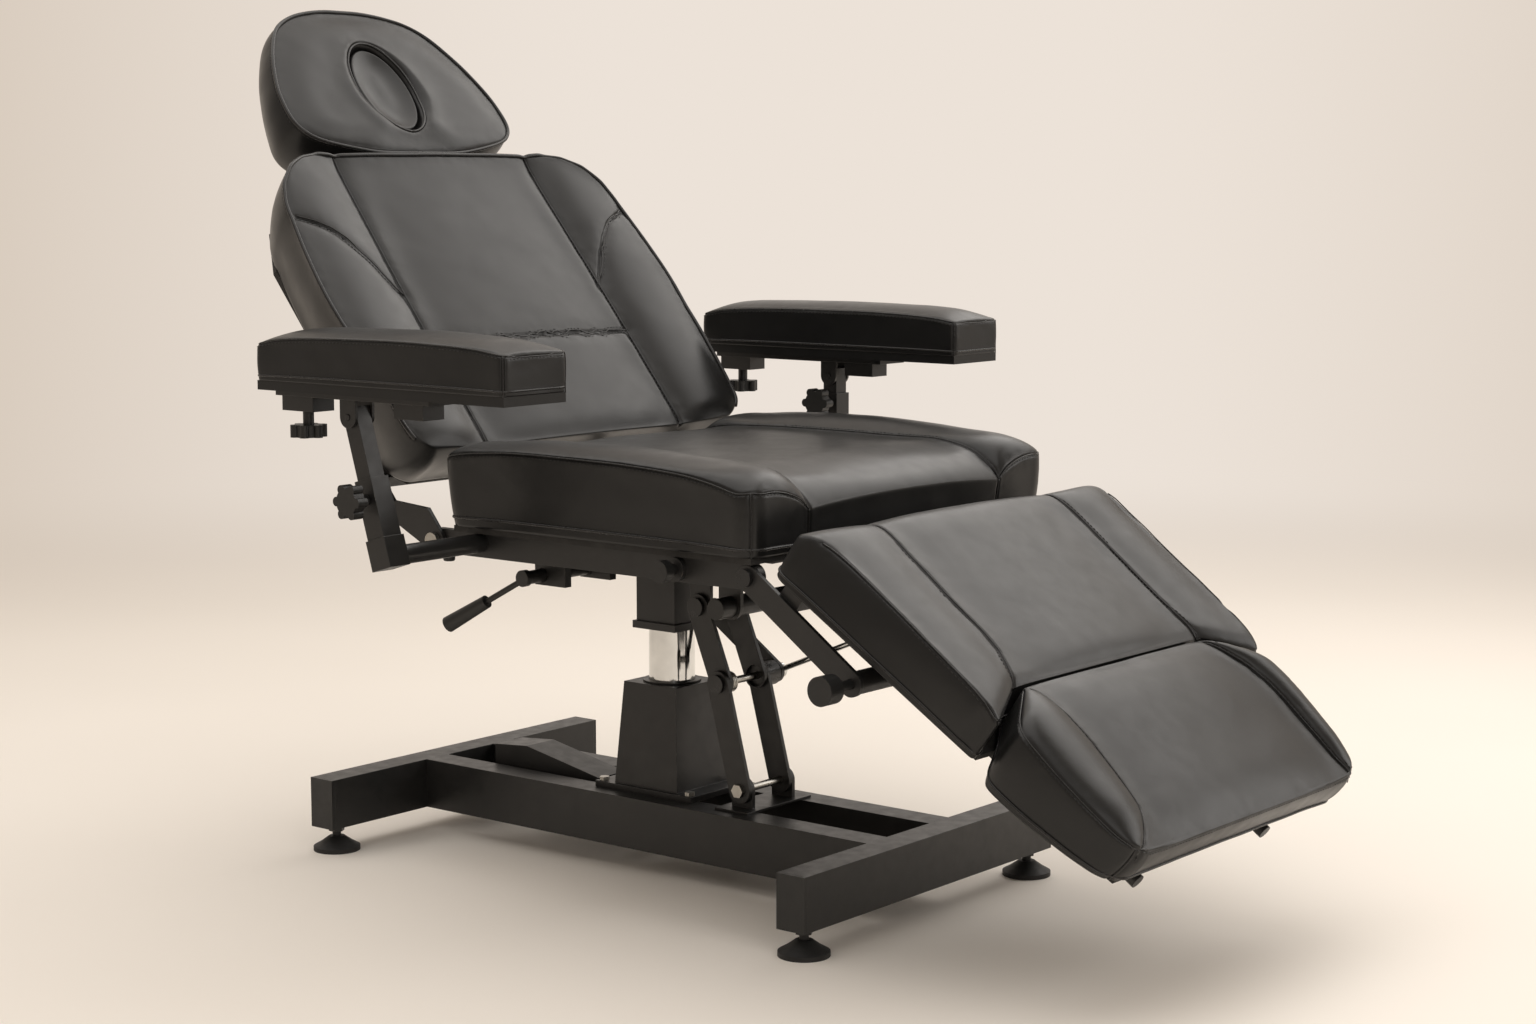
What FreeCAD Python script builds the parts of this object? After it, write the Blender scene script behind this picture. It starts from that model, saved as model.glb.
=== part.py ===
import FreeCAD, Part
import Sketcher
import math
import os
import re

# Tattoo chair on a lift column, millimetres, +Z up.
# Lengths along X are counted from the column axis, towards the feet.
# The sitter's right side is at minus Y.

SIZES = {
    # Base frame of box tube
    "column_behind": 95.0,
    "bar_width": 43.0,
    "bar_height": 70.0,
    "bar_top": 105.0,
    "bar_length": 544.0,
    "tube_wall": 3.0,
    "cap_thickness": 5.0,
    "front_bar_ahead": 420.5,
    "rear_bar_behind": 411.5,
    "rail_centre_y": 68.0,
    # Levelling feet
    "foot_inset": 27.0,
    "foot_radius": 32.5,
    "foot_rim": 6.0,
    "foot_cone_top": 20.0,
    "foot_neck_radius": 11.0,
    "stem_radius": 6.0,
    "stem_top": 62.0,
    "nut_radius": 11.0,
    "nut_height": 8.0,
    "running_gap": 0.3,
    # Lift column
    "flange_length": 172.0,
    "flange_width": 126.0,
    "flange_thickness": 8.0,
    "flange_bolt_inset": 9.0,
    "bolt_head_radius": 7.0,
    "bolt_head_height": 5.0,
    "housing_bottom": 112.0,
    "housing_top": 93.0,
    "housing_wall": 3.0,
    "ram_radius": 31.5,
    "ram_shown": 74.0,
    "lift_room": 66.8,
    "cylinder_wall": 5.0,
    "cylinder_floor": 6.0,
    "gland_rise": 2.5,
    "gland_rim": 3.0,
    "sleeve_size": 68.0,
    "sleeve_wall": 2.2,
    "collar_size": 76.0,
    "collar_thickness": 10.0,
    "collar_drop": 138.0,
    # Guide linkage in front of the column
    "lower_pin_ahead": 160.0,
    "lower_pin_height": 131.0,
    "knee_ahead": 123.0,
    "knee_rise": 20.0,
    "upper_pin_ahead": 83.0,
    "upper_pin_drop": 97.0,
    "link_width": 35.0,
    "link_thickness": 6.0,
    "link_near_y": 51.0,
    "link_far_y": 40.0,
    "knee_slack": 9.8,
    "strut_arm_ahead": 15.0,
    "strut_arm_drop": 121.0,
    "strut_arm_width": 30.0,
    "strut_washer_radius": 8.0,
    "strut_boss_radius": 12.0,
    "link_pin_radius": 5.0,
    "link_head_radius": 12.5,
    "knee_boss_radius": 17.0,
    "knee_boss_length": 24.0,
    "washer_radius": 14.0,
    "washer_thickness": 2.4,
    "washer_pitch": 3.4,
    "bracket_length": 56.0,
    "bracket_width": 136.0,
    # Foot pump
    "pedal_pivot_behind": 112.0,
    "pedal_pivot_height": 88.0,
    "pedal_reach": 200.0,
    "pedal_width": 56.0,
    "pedal_plate": 5.0,
    "pedal_root_height": 26.0,
    "pedal_end_height": 62.0,
    "pedal_rise": 22.0,
    # Seat frame
    "pivot_height": 466.0,
    "back_pivot_behind": 149.0,
    "leg_pivot_ahead": 377.0,
    "rail_height": 32.0,
    "rail_thickness": 12.0,
    "rail_inset": 33.0,
    "crossbar_width": 30.0,
    "front_crossbar_ahead": 220.0,
    "arm_tube_radius": 12.5,
    "plate_thickness": 6.0,
    "pivot_bolt_radius": 6.0,
    "pivot_head_radius": 11.0,
    "pivot_head_height": 6.0,
    "cross_tube_ahead": 164.0,
    "cross_tube_drop": 85.0,
    "cross_tube_radius": 14.0,
    "cross_tube_near_y": 104.0,
    "hanger_y": 68.0,
    "board_thickness": 8.0,
    "board_margin": 12.0,
    "plunger_ahead": 265.0,
    "plunger_radius": 6.0,
    "plunger_depth": 10.0,
    "plunger_boss_radius": 15.0,
    "plunger_boss_length": 8.0,
    "plunger_reach": 22.0,
    "plunger_cap_radius": 13.5,
    "plunger_cap_length": 14.0,
    # Recline lever
    "lever_end_behind": 62.0,
    "lever_end_y": 220.0,
    "lever_end_drop": 51.0,
    "lever_shaft_radius": 9.0,
    "lever_shaft_length": 130.0,
    "lever_bearing_size": 26.0,
    "lever_bearing_thickness": 12.0,
    "lever_bearing_inset": 30.0,
    "lever_cap_radius": 11.0,
    "lever_rod_radius": 4.0,
    "lever_rod_length": 130.0,
    "lever_rod_yaw": 169.3,
    "lever_rod_dip": 29.8,
    "lever_grip_radius": 11.0,
    "lever_grip_length": 72.0,
    # Cushion forms
    "soft_gap": 0.3,
    "tuck": 9.0,
    "lip": 5.0,
    "pinch": 10.0,
    "seam_rise": 1.5,
    # Seat cushion
    "seat_rear_behind": 121.0,
    "seat_front_ahead": 399.0,
    "seat_half_width": 317.0,
    "seat_edge_rear": 82.0,
    "seat_edge_middle": 98.0,
    "seat_edge_front": 76.0,
    "seat_bolster": 11.0,
    "seat_crown": 7.0,
    # Back, in a frame that leans with it
    "back_slope": 51.0,
    "back_bottom": 92.0,
    "back_top": 582.0,
    "back_rear": -21.0,
    "back_edge": 82.0,
    "back_half_width": 347.0,
    "back_tuck": 40.0,
    "back_seam_sink": -10.0,
    "back_plate_knee": 80.0,
    "back_bolster": 12.0,
    "back_crown": 16.0,
    "upright_size": 25.0,
    "upright_y": 215.0,
    "lower_crossbar_up": 120.0,
    "guide_low_up": 400.0,
    "guide_high_up": 500.0,
    "back_plate_width": 34.0,
    "back_arm_radius": 45.0,
    "back_arm_angle": 19.5,
    "back_arm_y": 147.0,
    "back_arm_width": 30.0,
    "strut_pin_radius": 5.0,
    "strut_pin_length": 14.0,
    "back_strut_front_ahead": 197.0,
    "back_strut_radius": 11.0,
    "back_strut_length": 200.0,
    "back_rod_setback": 65.0,
    "strut_rod_radius": 4.0,
    "strut_neck_radius": 5.0,
    "strut_neck_length": 16.5,
    "strut_end_wall": 5.5,
    "strut_slack": 5.0,
    "eye_wall": 5.0,
    "eye_thickness": 11.0,
    "eye_reach": 8.0,
    # Headrest, in the back's frame
    "head_bottom": 583.0,
    "head_top": 868.0,
    "head_rear": -19.0,
    "head_edge": 66.0,
    "head_half_width": 219.0,
    "head_crown": 12.0,
    "head_tuck": 40.0,
    "head_rod_radius": 8.0,
    "head_rod_y": 90.0,
    "head_rod_bottom": 388.0,
    "head_rod_top": 700.0,
    "head_plate_half_width": 130.0,
    "head_plate_bottom": 625.0,
    "head_plate_top": 770.0,
    "face_hole_up": 715.0,
    "face_hole_half_height": 79.0,
    "face_hole_half_width": 53.0,
    "plug_gap": 1.0,
    "plug_sink": 9.0,
    "plug_dish": 8.0,
    # Leg rest, in a frame that slopes with it
    "leg_slope": 36.0,
    "calf_start": 31.0,
    "calf_end": 372.0,
    "calf_bottom": 44.0,
    "calf_edge": 112.0,
    "calf_start_half_width": 330.0,
    "calf_end_half_width": 299.0,
    "calf_bolster": 9.0,
    "calf_crown": 7.0,
    "leg_bar_end": 190.0,
    "leg_bar_width": 31.0,
    "leg_crossbar_low": 13.0,
    "leg_crossbar_first": 47.0,
    "leg_crossbar_second": 332.0,
    "clamp_tube_radius": 14.0,
    "clamp_tube_offset": 2.0,
    "slide_radius": 9.0,
    "slide_y": 150.0,
    "slide_start": 64.0,
    "slide_end": 558.0,
    "guide_lug": 30.0,
    "leg_strut_y": 80.0,
    "leg_strut_top_along": 80.0,
    "leg_strut_top_drop": 29.0,
    "leg_strut_radius": 11.0,
    "leg_strut_body": 165.0,
    "leg_rod_length": 235.0,
    "leg_eye_slack": 4.0,
    # Foot rest
    "foot_start": 379.0,
    "foot_end": 575.0,
    "foot_bottom_start": 21.0,
    "foot_bottom_end": 40.0,
    "foot_edge_start": 114.0,
    "foot_edge_end": 95.0,
    "foot_start_half_width": 279.0,
    "foot_end_half_width": 262.0,
    "foot_crown": 10.0,
    "tongue_start": 328.0,
    "tongue_half_width": 210.0,
    "tongue_rise": 2.0,
    "tongue_gap": 6.0,
    "foot_board_half_width": 240.0,
    "foot_tab_length": 40.0,
    "foot_tab_far_behind": 164.0,
    "foot_tab_near_behind": 46.0,
    "foot_knob_radius": 17.5,
    "foot_knob_length": 24.0,
    "foot_knob_stem": 34.0,
    "foot_knob_stem_radius": 6.0,
    # Arms
    "arm_ahead": -70.0,
    "arm_outset": 140.5,
    "arm_tube_rise": 3.0,
    "right_arm_lean": 17.0,
    "left_arm_lean": 0.0,
    "arm_block_size": 34.0,
    "arm_block_low": 15.0,
    "arm_block_high": 24.0,
    "arm_block_wall": 4.0,
    "arm_sleeve_size": 30.0,
    "right_sleeve_top": 100.0,
    "left_sleeve_top": 147.0,
    "arm_post_size": 24.0,
    "arm_post_bottom": 27.0,
    "right_pin_up": 180.0,
    "left_pin_up": 173.0,
    "arm_pin_radius": 4.0,
    "arm_post_cap": 11.0,
    "arm_ear_thickness": 4.0,
    "arm_ear_width": 28.0,
    "arm_plate_rise": 195.0,
    "arm_plate_thickness": 8.0,
    "arm_plate_setback": 10.0,
    "arm_board_thickness": 12.0,
    "arm_board_inset": 2.5,
    "arm_stop_rear": -38.0,
    "arm_stop_front": 13.0,
    "arm_plate_front": 36.0,
    "arm_plate_half_width": 30.0,
    "right_pad_rear": -250.0,
    "left_pad_rear": -285.0,
    "pad_pinch": 6.0,
    "pad_front": 186.0,
    "pad_half_width": 55.5,
    "pad_edge": 49.0,
    "pad_end_edge": 40.0,
    "pad_crown": 17.0,
    "right_knob_up": 74.0,
    "left_knob_up": 134.0,
    "star_radius": 17.5,
    "star_lobe_radius": 6.0,
    "star_lobes": 6.0,
    "star_thickness": 16.0,
    "star_stem_radius": 7.0,
    "star_stem_length": 18.0,
    "star_screw_radius": 4.0,
    "pad_knob_setback": 37.0,
    "pad_block_length": 57.0,
    "pad_block_width": 36.0,
    "pad_block_height": 20.0,
    "overrun": 5.0,
}

# Places worked out from the sizes above, for the expressions
PLACES = {
    "bar_bottom": "(bar_top - bar_height)",
    "foot_bar_y": "(bar_length / 2 - foot_inset)",
    "flange_top": "(bar_top + flange_thickness)",
    "collar_bottom": "(pivot_height - collar_drop)",
    "housing_crest": "(pivot_height - collar_drop - ram_shown)",
    "collar_top": "(collar_bottom + collar_thickness)",
    "rail_bottom": "(pivot_height - rail_height / 2)",
    "rail_top": "(pivot_height + rail_height / 2)",
    "rail_inner_y": "(seat_half_width - rail_inset)",
    "rail_outer_y": "(rail_inner_y + rail_thickness)",
    "side_plate_y": "(rail_inner_y + rail_thickness + running_gap)",
    "side_plate_outer_y": "(rail_inner_y + rail_thickness + running_gap + plate_thickness)",
    "board_top": "(pivot_height + rail_height / 2 + board_thickness)",
    "upright_front": "(back_rear - soft_gap - board_thickness)",
    "upright_rear": "(back_rear - soft_gap - board_thickness - upright_size)",
    "head_rod_x": "(back_rear - soft_gap - board_thickness - upright_size / 2)",
    "strut_height": "(pivot_height - back_arm_radius * cos(back_arm_angle))",
    "upper_pin_height": "(pivot_height - upper_pin_drop)",
    "knee_height": "((lower_pin_height + pivot_height - upper_pin_drop) / 2 + knee_rise)",
    "arm_y": "(seat_half_width + arm_outset)",
    "cross_tube_height": "(pivot_height - cross_tube_drop)",
    "strut_arm_height": "(pivot_height - strut_arm_drop)",
    "lever_end_height": "(pivot_height - lever_end_drop)",
    "arm_tube_height": "(pivot_height + arm_tube_rise)",
    "arm_plate_bottom": "(pivot_height + arm_tube_rise + arm_plate_rise)",
    "strut_rear_behind": "(back_pivot_behind + back_arm_radius * sin(back_arm_angle))",
    "back_arm_x": "(-back_arm_radius * sin(90 - back_slope + back_arm_angle))",
    "back_arm_z": "(-back_arm_radius * cos(90 - back_slope + back_arm_angle))",
    "back_strut_y": "(back_arm_y - strut_pin_length / 2)",
    "calf_board_top": "(calf_bottom - soft_gap)",
    "calf_board_low": "(calf_bottom - soft_gap - board_thickness)",
    "foot_rise": "((foot_bottom_end - foot_bottom_start) / (foot_end - foot_start))",
    "arm_tube_end": "(arm_y + arm_block_size / 2 - arm_block_wall - running_gap)",
}

document = FreeCAD.newDocument("tattoo_chair")
sheet = document.addObject("Spreadsheet::Sheet", "Sizes")
for row, (alias, value) in enumerate(SIZES.items(), start=1):
    sheet.set("A%d" % row, alias)
    sheet.set("B%d" % row, str(value))
    sheet.setAlias("B%d" % row, alias)
document.recompute()

sub_parts = []


def size(alias):
    """The number that the sheet holds under an alias."""
    return float(getattr(sheet, alias))


def cells(formula):
    """A formula in plain size names, written for the expression engine."""
    def swap(word):
        name = word.group()
        if name in PLACES:
            return cells(PLACES[name])
        return "Sizes." + name if name in SIZES else name
    return re.sub(r"[a-z][a-z0-9_]*", swap, str(formula))


def bind(thing, **formulas):
    for name, formula in formulas.items():
        thing.setExpression(name, cells(formula))
    return thing


def move(thing, x=0, y=0, z=0):
    for letter, formula in (("x", x), ("y", y), ("z", z)):
        thing.setExpression("Placement.Base." + letter, cells(formula))
    return thing


def turn(thing, axis, angle):
    """Turns a thing about its own origin, by an angle from the sheet."""
    thing.Placement = FreeCAD.Placement(FreeCAD.Vector(), FreeCAD.Rotation(FreeCAD.Vector(*axis), 1))
    thing.setExpression("Placement.Rotation.Angle", cells(angle))
    return thing


def block(x, y, z):
    """A box between two places on each axis."""
    box = document.addObject("Part::Box", "block")
    bind(box, Length="(%s) - (%s)" % (x[1], x[0]), Width="(%s) - (%s)" % (y[1], y[0]),
         Height="(%s) - (%s)" % (z[1], z[0]))
    return move(box, x[0], y[0], z[0])


TURNS = {"x": ((0, 1, 0), 90), "y": ((1, 0, 0), -90), "z": ((0, 0, 1), 0)}


def rod(radius, along, start, end, first, second):
    """A cylinder along one axis; first and second place it on the other two, in X, Y, Z order."""
    cylinder = document.addObject("Part::Cylinder", "rod")
    bind(cylinder, Radius=radius, Height="(%s) - (%s)" % (end, start))
    axis, angle = TURNS[along]
    cylinder.Placement = FreeCAD.Placement(FreeCAD.Vector(), FreeCAD.Rotation(FreeCAD.Vector(*axis), angle))
    spots = {"x": (start, first, second), "y": (first, start, second), "z": (first, second, start)}
    return move(cylinder, *spots[along])


def join(pieces):
    if len(pieces) == 1:
        return pieces[0]
    whole = document.addObject("Part::MultiFuse", "join")
    whole.Shapes = pieces
    return whole


def cut(base, tools):
    result = document.addObject("Part::Cut", "cut")
    result.Base = base
    result.Tool = join(tools)
    return result


def group(pieces):
    """Several separate solids under one name."""
    whole = document.addObject("Part::Compound", "group")
    whole.Links = pieces
    return whole


def finish(label, thing, x=0, y=0, z=0, angle=None):
    """Names a sub-part and puts its own frame in the chair: X from the column, angle about Y."""
    if thing.TypeId in ("Part::Box", "Part::Cylinder"):
        thing = group([thing])
    if angle is not None:
        turn(thing, (0, 1, 0), angle)
    thing.Label = label
    move(thing, "(%s) - column_behind" % x, y, z)
    sub_parts.append(thing)
    return thing


def finish_on_back(label, thing):
    return finish(label, thing, "-back_pivot_behind", 0, "pivot_height", "back_slope - 90")


def finish_on_leg(label, thing):
    return finish(label, thing, "leg_pivot_ahead", 0, "pivot_height", "leg_slope")


def formed(shape):
    """A shape that lofts or outlines make directly from the sizes."""
    thing = document.addObject("Part::Feature", "formed")
    thing.Shape = shape
    return thing


# Sketched bodies

def origin_plane(body, role):
    return [plane for plane in body.Origin.OriginFeatures if plane.Role == role][0]


def outline(body, role, points):
    """A closed sketch of straight lines, each corner bound to two formulas."""
    sketch = body.newObject("Sketcher::SketchObject", "outline")
    sketch.AttachmentSupport = (origin_plane(body, role), [""])
    sketch.MapMode = "FlatFace"
    count = len(points)
    ring = [FreeCAD.Vector(math.cos(2 * math.pi * i / count), math.sin(2 * math.pi * i / count), 0)
            for i in range(count)]
    for i in range(count):
        sketch.addGeometry(Part.LineSegment(ring[i], ring[(i + 1) % count]), False)
    for i in range(count):
        sketch.addConstraint(Sketcher.Constraint("Coincident", i, 2, (i + 1) % count, 1))
    for i, corner in enumerate(points):
        start = (("DistanceX", corner[0], ring[i].x), ("DistanceY", corner[1], ring[i].y))
        for kind, formula, value in start:
            number = sketch.addConstraint(Sketcher.Constraint(kind, -1, 1, i, 1, value))
            sketch.setExpression("Constraints[%d]" % number, cells(formula))
    return sketch


def plate(points, y_start, thickness):
    """A flat plate: its outline in X and Z, its thickness along Y from y_start."""
    body = document.addObject("PartDesign::Body", "plate")
    pad = body.newObject("PartDesign::Pad", "thickness")
    pad.Profile = outline(body, "XZ_Plane", points)
    bind(pad, Length=thickness)
    pad.Reversed = True
    body.Tip = pad
    return move(body, 0, y_start, 0)


def panel(points, x_start, thickness):
    """A flat panel: its outline in Y and Z, its thickness along X from x_start."""
    body = document.addObject("PartDesign::Body", "panel")
    pad = body.newObject("PartDesign::Pad", "thickness")
    pad.Profile = outline(body, "YZ_Plane", points)
    bind(pad, Length=thickness)
    body.Tip = pad
    return move(body, x_start, 0, 0)


def turned(points):
    """A round body: its half outline in X and Z, turned about Z."""
    body = document.addObject("PartDesign::Body", "turned")
    sketch = outline(body, "XZ_Plane", points)
    spin = body.newObject("PartDesign::Revolution", "spin")
    spin.Profile = sketch
    spin.ReferenceAxis = (sketch, ["V_Axis"])
    spin.Angle = 360
    body.Tip = spin
    return body


def star_knob():
    """A lobed knob on a stem, its axis along Z: the screw starts at zero and the star is on top."""
    body = document.addObject("PartDesign::Body", "star_knob")
    sketch = outline(body, "XZ_Plane", [
        ("0", "0"), ("star_screw_radius", "0"), ("star_screw_radius", "arm_ear_thickness"),
        ("star_stem_radius", "arm_ear_thickness"),
        ("star_stem_radius", "arm_ear_thickness + star_stem_length"),
        ("star_radius", "arm_ear_thickness + star_stem_length"),
        ("star_radius", "arm_ear_thickness + star_stem_length + star_thickness"),
        ("0", "arm_ear_thickness + star_stem_length + star_thickness")])
    spin = body.newObject("PartDesign::Revolution", "spin")
    spin.Profile = sketch
    spin.ReferenceAxis = (sketch, ["V_Axis"])
    spin.Angle = 360
    lobe = body.newObject("PartDesign::AdditiveCylinder", "lobe")
    bind(lobe, Radius="star_lobe_radius", Height="star_thickness")
    lobe.AttachmentSupport = (origin_plane(body, "XY_Plane"), [""])
    lobe.MapMode = "FlatFace"
    lobe.setExpression("AttachmentOffset.Base.x", cells("star_radius"))
    lobe.setExpression("AttachmentOffset.Base.z", cells("arm_ear_thickness + star_stem_length"))
    document.recompute()
    ring = body.newObject("PartDesign::PolarPattern", "lobes")
    ring.Originals = [lobe]
    ring.Axis = (sketch, ["V_Axis"])
    bind(ring, Occurrences="star_lobes")
    body.Tip = ring
    return body


# Cushions

def arc(points):
    return Part.Arc(*points).toShape()


def section(place, half_width, low, edge, crown, form):
    """A cushion's outline across Y: flat underneath, drawn-in sides and a crowned top."""
    lip = size("lip")
    middle = (low + edge) / 2
    foot_right = place(half_width - form["tuck"], low)
    foot_left = place(form["tuck"] - half_width, low)
    top_right = place(half_width - lip, edge)
    top_left = place(lip - half_width, edge)
    edges = [Part.makeLine(foot_left, foot_right),
             arc((foot_right, place(half_width, middle), top_right))]
    if form["seam_share"]:
        seam = half_width * form["seam_share"]
        puff = (half_width - lip + seam) / 2
        rise = form["seam_rise"]
        seam_right = place(seam, edge + rise)
        seam_left = place(-seam, edge + rise)
        edges.append(arc((top_right, place(puff, edge + rise / 2 + form["bolster"]), seam_right)))
        edges.append(arc((seam_right, place(0, edge + rise + crown), seam_left)))
        edges.append(arc((seam_left, place(-puff, edge + rise / 2 + form["bolster"]), top_left)))
    else:
        edges.append(arc((top_right, place(0, edge + crown), top_left)))
    edges.append(arc((top_left, place(-half_width, middle), foot_left)))
    return Part.Wire(edges)


def cushion(stations, to_point, **shaping):
    """A ruled loft through sections: each station is (along, half width, low, edge, crown)."""
    form = {"tuck": size("tuck"), "pinch": size("pinch"), "seam_share": 0, "bolster": 0,
            "seam_rise": size("seam_rise")}
    form.update(shaping)
    pinch = form["pinch"]
    first, last = stations[0], stations[-1]

    def drawn_in(station):
        along, half_width, low, edge, crown = station
        return (along, half_width - pinch, low + pinch / 2, edge - pinch, crown * 2 / 3)

    def towards(station, neighbour):
        share = pinch / abs(neighbour[0] - station[0])
        return tuple(start + (end - start) * share for start, end in zip(station, neighbour))

    rows = [drawn_in(first), towards(first, stations[1])] + list(stations[1:-1])
    rows += [towards(last, stations[-2]), drawn_in(last)]
    wires = [section(lambda y, height, s=row[0]: to_point(s, y, height), *row[1:], form) for row in rows]
    return Part.makeLoft(wires, True, True)


def flat_point(along, y, height):
    return FreeCAD.Vector(along, y, height)


def leaning_point(along, y, height):
    return FreeCAD.Vector(height, y, along)


# Base frame

def crossbar(label, centre):
    half = "bar_width / 2"
    length = "(bar_length / 2 - cap_thickness)"
    outer = block((centre + " - " + half, centre + " + " + half), ("-" + length, length),
                  ("bar_bottom", "bar_top"))
    hollow = block((centre + " - " + half + " + tube_wall", centre + " + " + half + " - tube_wall"),
                   ("-" + length + " - overrun", length + " + overrun"),
                   ("bar_bottom + tube_wall", "bar_top - tube_wall"))
    holes = [rod("stem_radius + running_gap", "z", "bar_bottom - overrun", "bar_bottom + tube_wall + overrun",
                 centre, sign + "foot_bar_y") for sign in ("", "-")]
    return finish(label, cut(outer, [hollow] + holes))


crossbar("front_crossbar", "front_bar_ahead")
crossbar("rear_crossbar", "-rear_bar_behind")


def base_rail(sign):
    centre = sign + "rail_centre_y"
    outer = block(("bar_width / 2 - rear_bar_behind", "front_bar_ahead - bar_width / 2"),
                  (centre + " - bar_width / 2", centre + " + bar_width / 2"), ("bar_bottom", "bar_top"))
    hollow = block(("bar_width / 2 - rear_bar_behind - overrun", "front_bar_ahead - bar_width / 2 + overrun"),
                   (centre + " - bar_width / 2 + tube_wall", centre + " + bar_width / 2 - tube_wall"),
                   ("bar_bottom + tube_wall", "bar_top - tube_wall"))
    return cut(outer, [hollow])


finish("base_rails", group([base_rail("-"), base_rail("")]))

caps = []
for centre in ("front_bar_ahead", "-rear_bar_behind"):
    for near, far in (("-bar_length / 2", "cap_thickness - bar_length / 2"),
                      ("bar_length / 2 - cap_thickness", "bar_length / 2")):
        caps.append(block((centre + " - bar_width / 2", centre + " + bar_width / 2"), (near, far),
                          ("bar_bottom", "bar_top")))
finish("crossbar_caps", group(caps))


def levelling_foot(label, centre, sign):
    foot = turned([("0", "0"), ("foot_radius", "0"), ("foot_radius", "foot_rim"),
                   ("foot_neck_radius * 2", "foot_rim * 2"), ("foot_neck_radius", "foot_cone_top"),
                   ("stem_radius", "foot_cone_top"), ("stem_radius", "stem_top"), ("0", "stem_top")])
    finish(label, foot, centre, sign + "foot_bar_y")


for end, centre in (("front", "front_bar_ahead"), ("rear", "-rear_bar_behind")):
    for side, sign in (("right", "-"), ("left", "")):
        levelling_foot(end + "_" + side + "_foot", centre, sign)


def lock_nut(centre, sign):
    nut = document.addObject("Part::Prism", "nut")
    nut.Polygon = 6
    bind(nut, Circumradius="nut_radius", Height="nut_height")
    move(nut, centre, sign + "foot_bar_y", "bar_bottom - nut_height")
    hole = rod("stem_radius + running_gap", "z", "bar_bottom - nut_height - overrun", "bar_bottom + overrun",
               centre, sign + "foot_bar_y")
    return cut(nut, [hole])


def hex_head(radius, height, x, y, z, tilt=0):
    """A hexagon head whose axis runs along Z, or along Y when tilted."""
    head = document.addObject("Part::Prism", "head")
    head.Polygon = 6
    bind(head, Circumradius=radius, Height=height)
    if tilt:
        head.Placement = FreeCAD.Placement(FreeCAD.Vector(), FreeCAD.Rotation(FreeCAD.Vector(1, 0, 0), tilt))
    return move(head, x, y, z)


fasteners = []
for centre in ("front_bar_ahead", "-rear_bar_behind"):
    fasteners += [lock_nut(centre, "-"), lock_nut(centre, "")]
for x in ("-flange_length / 2 + flange_bolt_inset", "flange_length / 2 - flange_bolt_inset"):
    for y in ("-flange_width / 2 + flange_bolt_inset", "flange_width / 2 - flange_bolt_inset"):
        fasteners.append(hex_head("bolt_head_radius", "bolt_head_height", x, y, "flange_top"))
lower_bolt = rod("link_pin_radius", "y", "-link_near_y", "link_near_y + bolt_head_height",
                 "lower_pin_ahead", "lower_pin_height")
lower_heads = [hex_head("bolt_head_radius + link_pin_radius / 2", "bolt_head_height + running_gap",
                        "lower_pin_ahead", y, "lower_pin_height", -90)
               for y in ("-link_near_y - bolt_head_height - running_gap", "link_near_y")]
fasteners.append(join([lower_bolt] + lower_heads))
finish("base_fasteners", group(fasteners))

# Lift column


def square(side, height):
    """A square wire round the column axis."""
    half = side / 2
    signs = ((-1, -1), (1, -1), (1, 1), (-1, 1), (-1, -1))
    return Part.makePolygon([FreeCAD.Vector(x * half, y * half, height) for x, y in signs])


def housing_shape():
    """A tapered square casing, open below, with a round hole in its top."""
    low = size("bar_top") + size("flange_thickness")
    high = size("pivot_height") - size("collar_drop") - size("ram_shown")
    wall = size("housing_wall")
    bottom, top = size("housing_bottom"), size("housing_top")
    outer = Part.makeLoft([square(bottom, low), square(top, high)], True, True)
    inner = Part.makeLoft([square(bottom - 2 * wall, low), square(top - 2 * wall, high - wall)], True, True)
    return outer.cut(inner)


gland_radius = "ram_radius + running_gap + cylinder_wall"
flange_plate = block(("-flange_length / 2", "flange_length / 2"), ("-flange_width / 2", "flange_width / 2"),
                     ("bar_top", "flange_top"))
casing = join([flange_plate, formed(housing_shape())])
gland_hole = rod(gland_radius, "z", "housing_crest - overrun", "housing_crest + overrun", 0, 0)
finish("column_housing", cut(casing, [gland_hole]))

barrel = rod(gland_radius, "z", "flange_top", "housing_crest", 0, 0)
rim = rod(gland_radius + " + gland_rim", "z", "housing_crest", "housing_crest + gland_rise", 0, 0)
bore = rod("ram_radius + running_gap", "z", "flange_top + cylinder_floor", "housing_crest + overrun", 0, 0)
finish("pump_cylinder", cut(join([barrel, rim]), [bore]))

finish("ram", rod("ram_radius", "z", "flange_top + cylinder_floor + lift_room",
                  "rail_bottom - sleeve_wall", 0, 0))

half_sleeve = "sleeve_size / 2"
sleeve_tube = block(("-" + half_sleeve, half_sleeve), ("-" + half_sleeve, half_sleeve),
                    ("collar_bottom", "rail_bottom"))
collar = block(("-collar_size / 2", "collar_size / 2"), ("-collar_size / 2", "collar_size / 2"),
               ("collar_bottom", "collar_top"))
sleeve_bore = block(("sleeve_wall - sleeve_size / 2", "sleeve_size / 2 - sleeve_wall"),
                    ("sleeve_wall - sleeve_size / 2", "sleeve_size / 2 - sleeve_wall"),
                    ("collar_bottom - overrun", "rail_bottom - sleeve_wall"))
sleeve_parts = [sleeve_tube, collar]

# Guide linkage: two pairs of flat bars that fold forwards as the seat comes down


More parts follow.
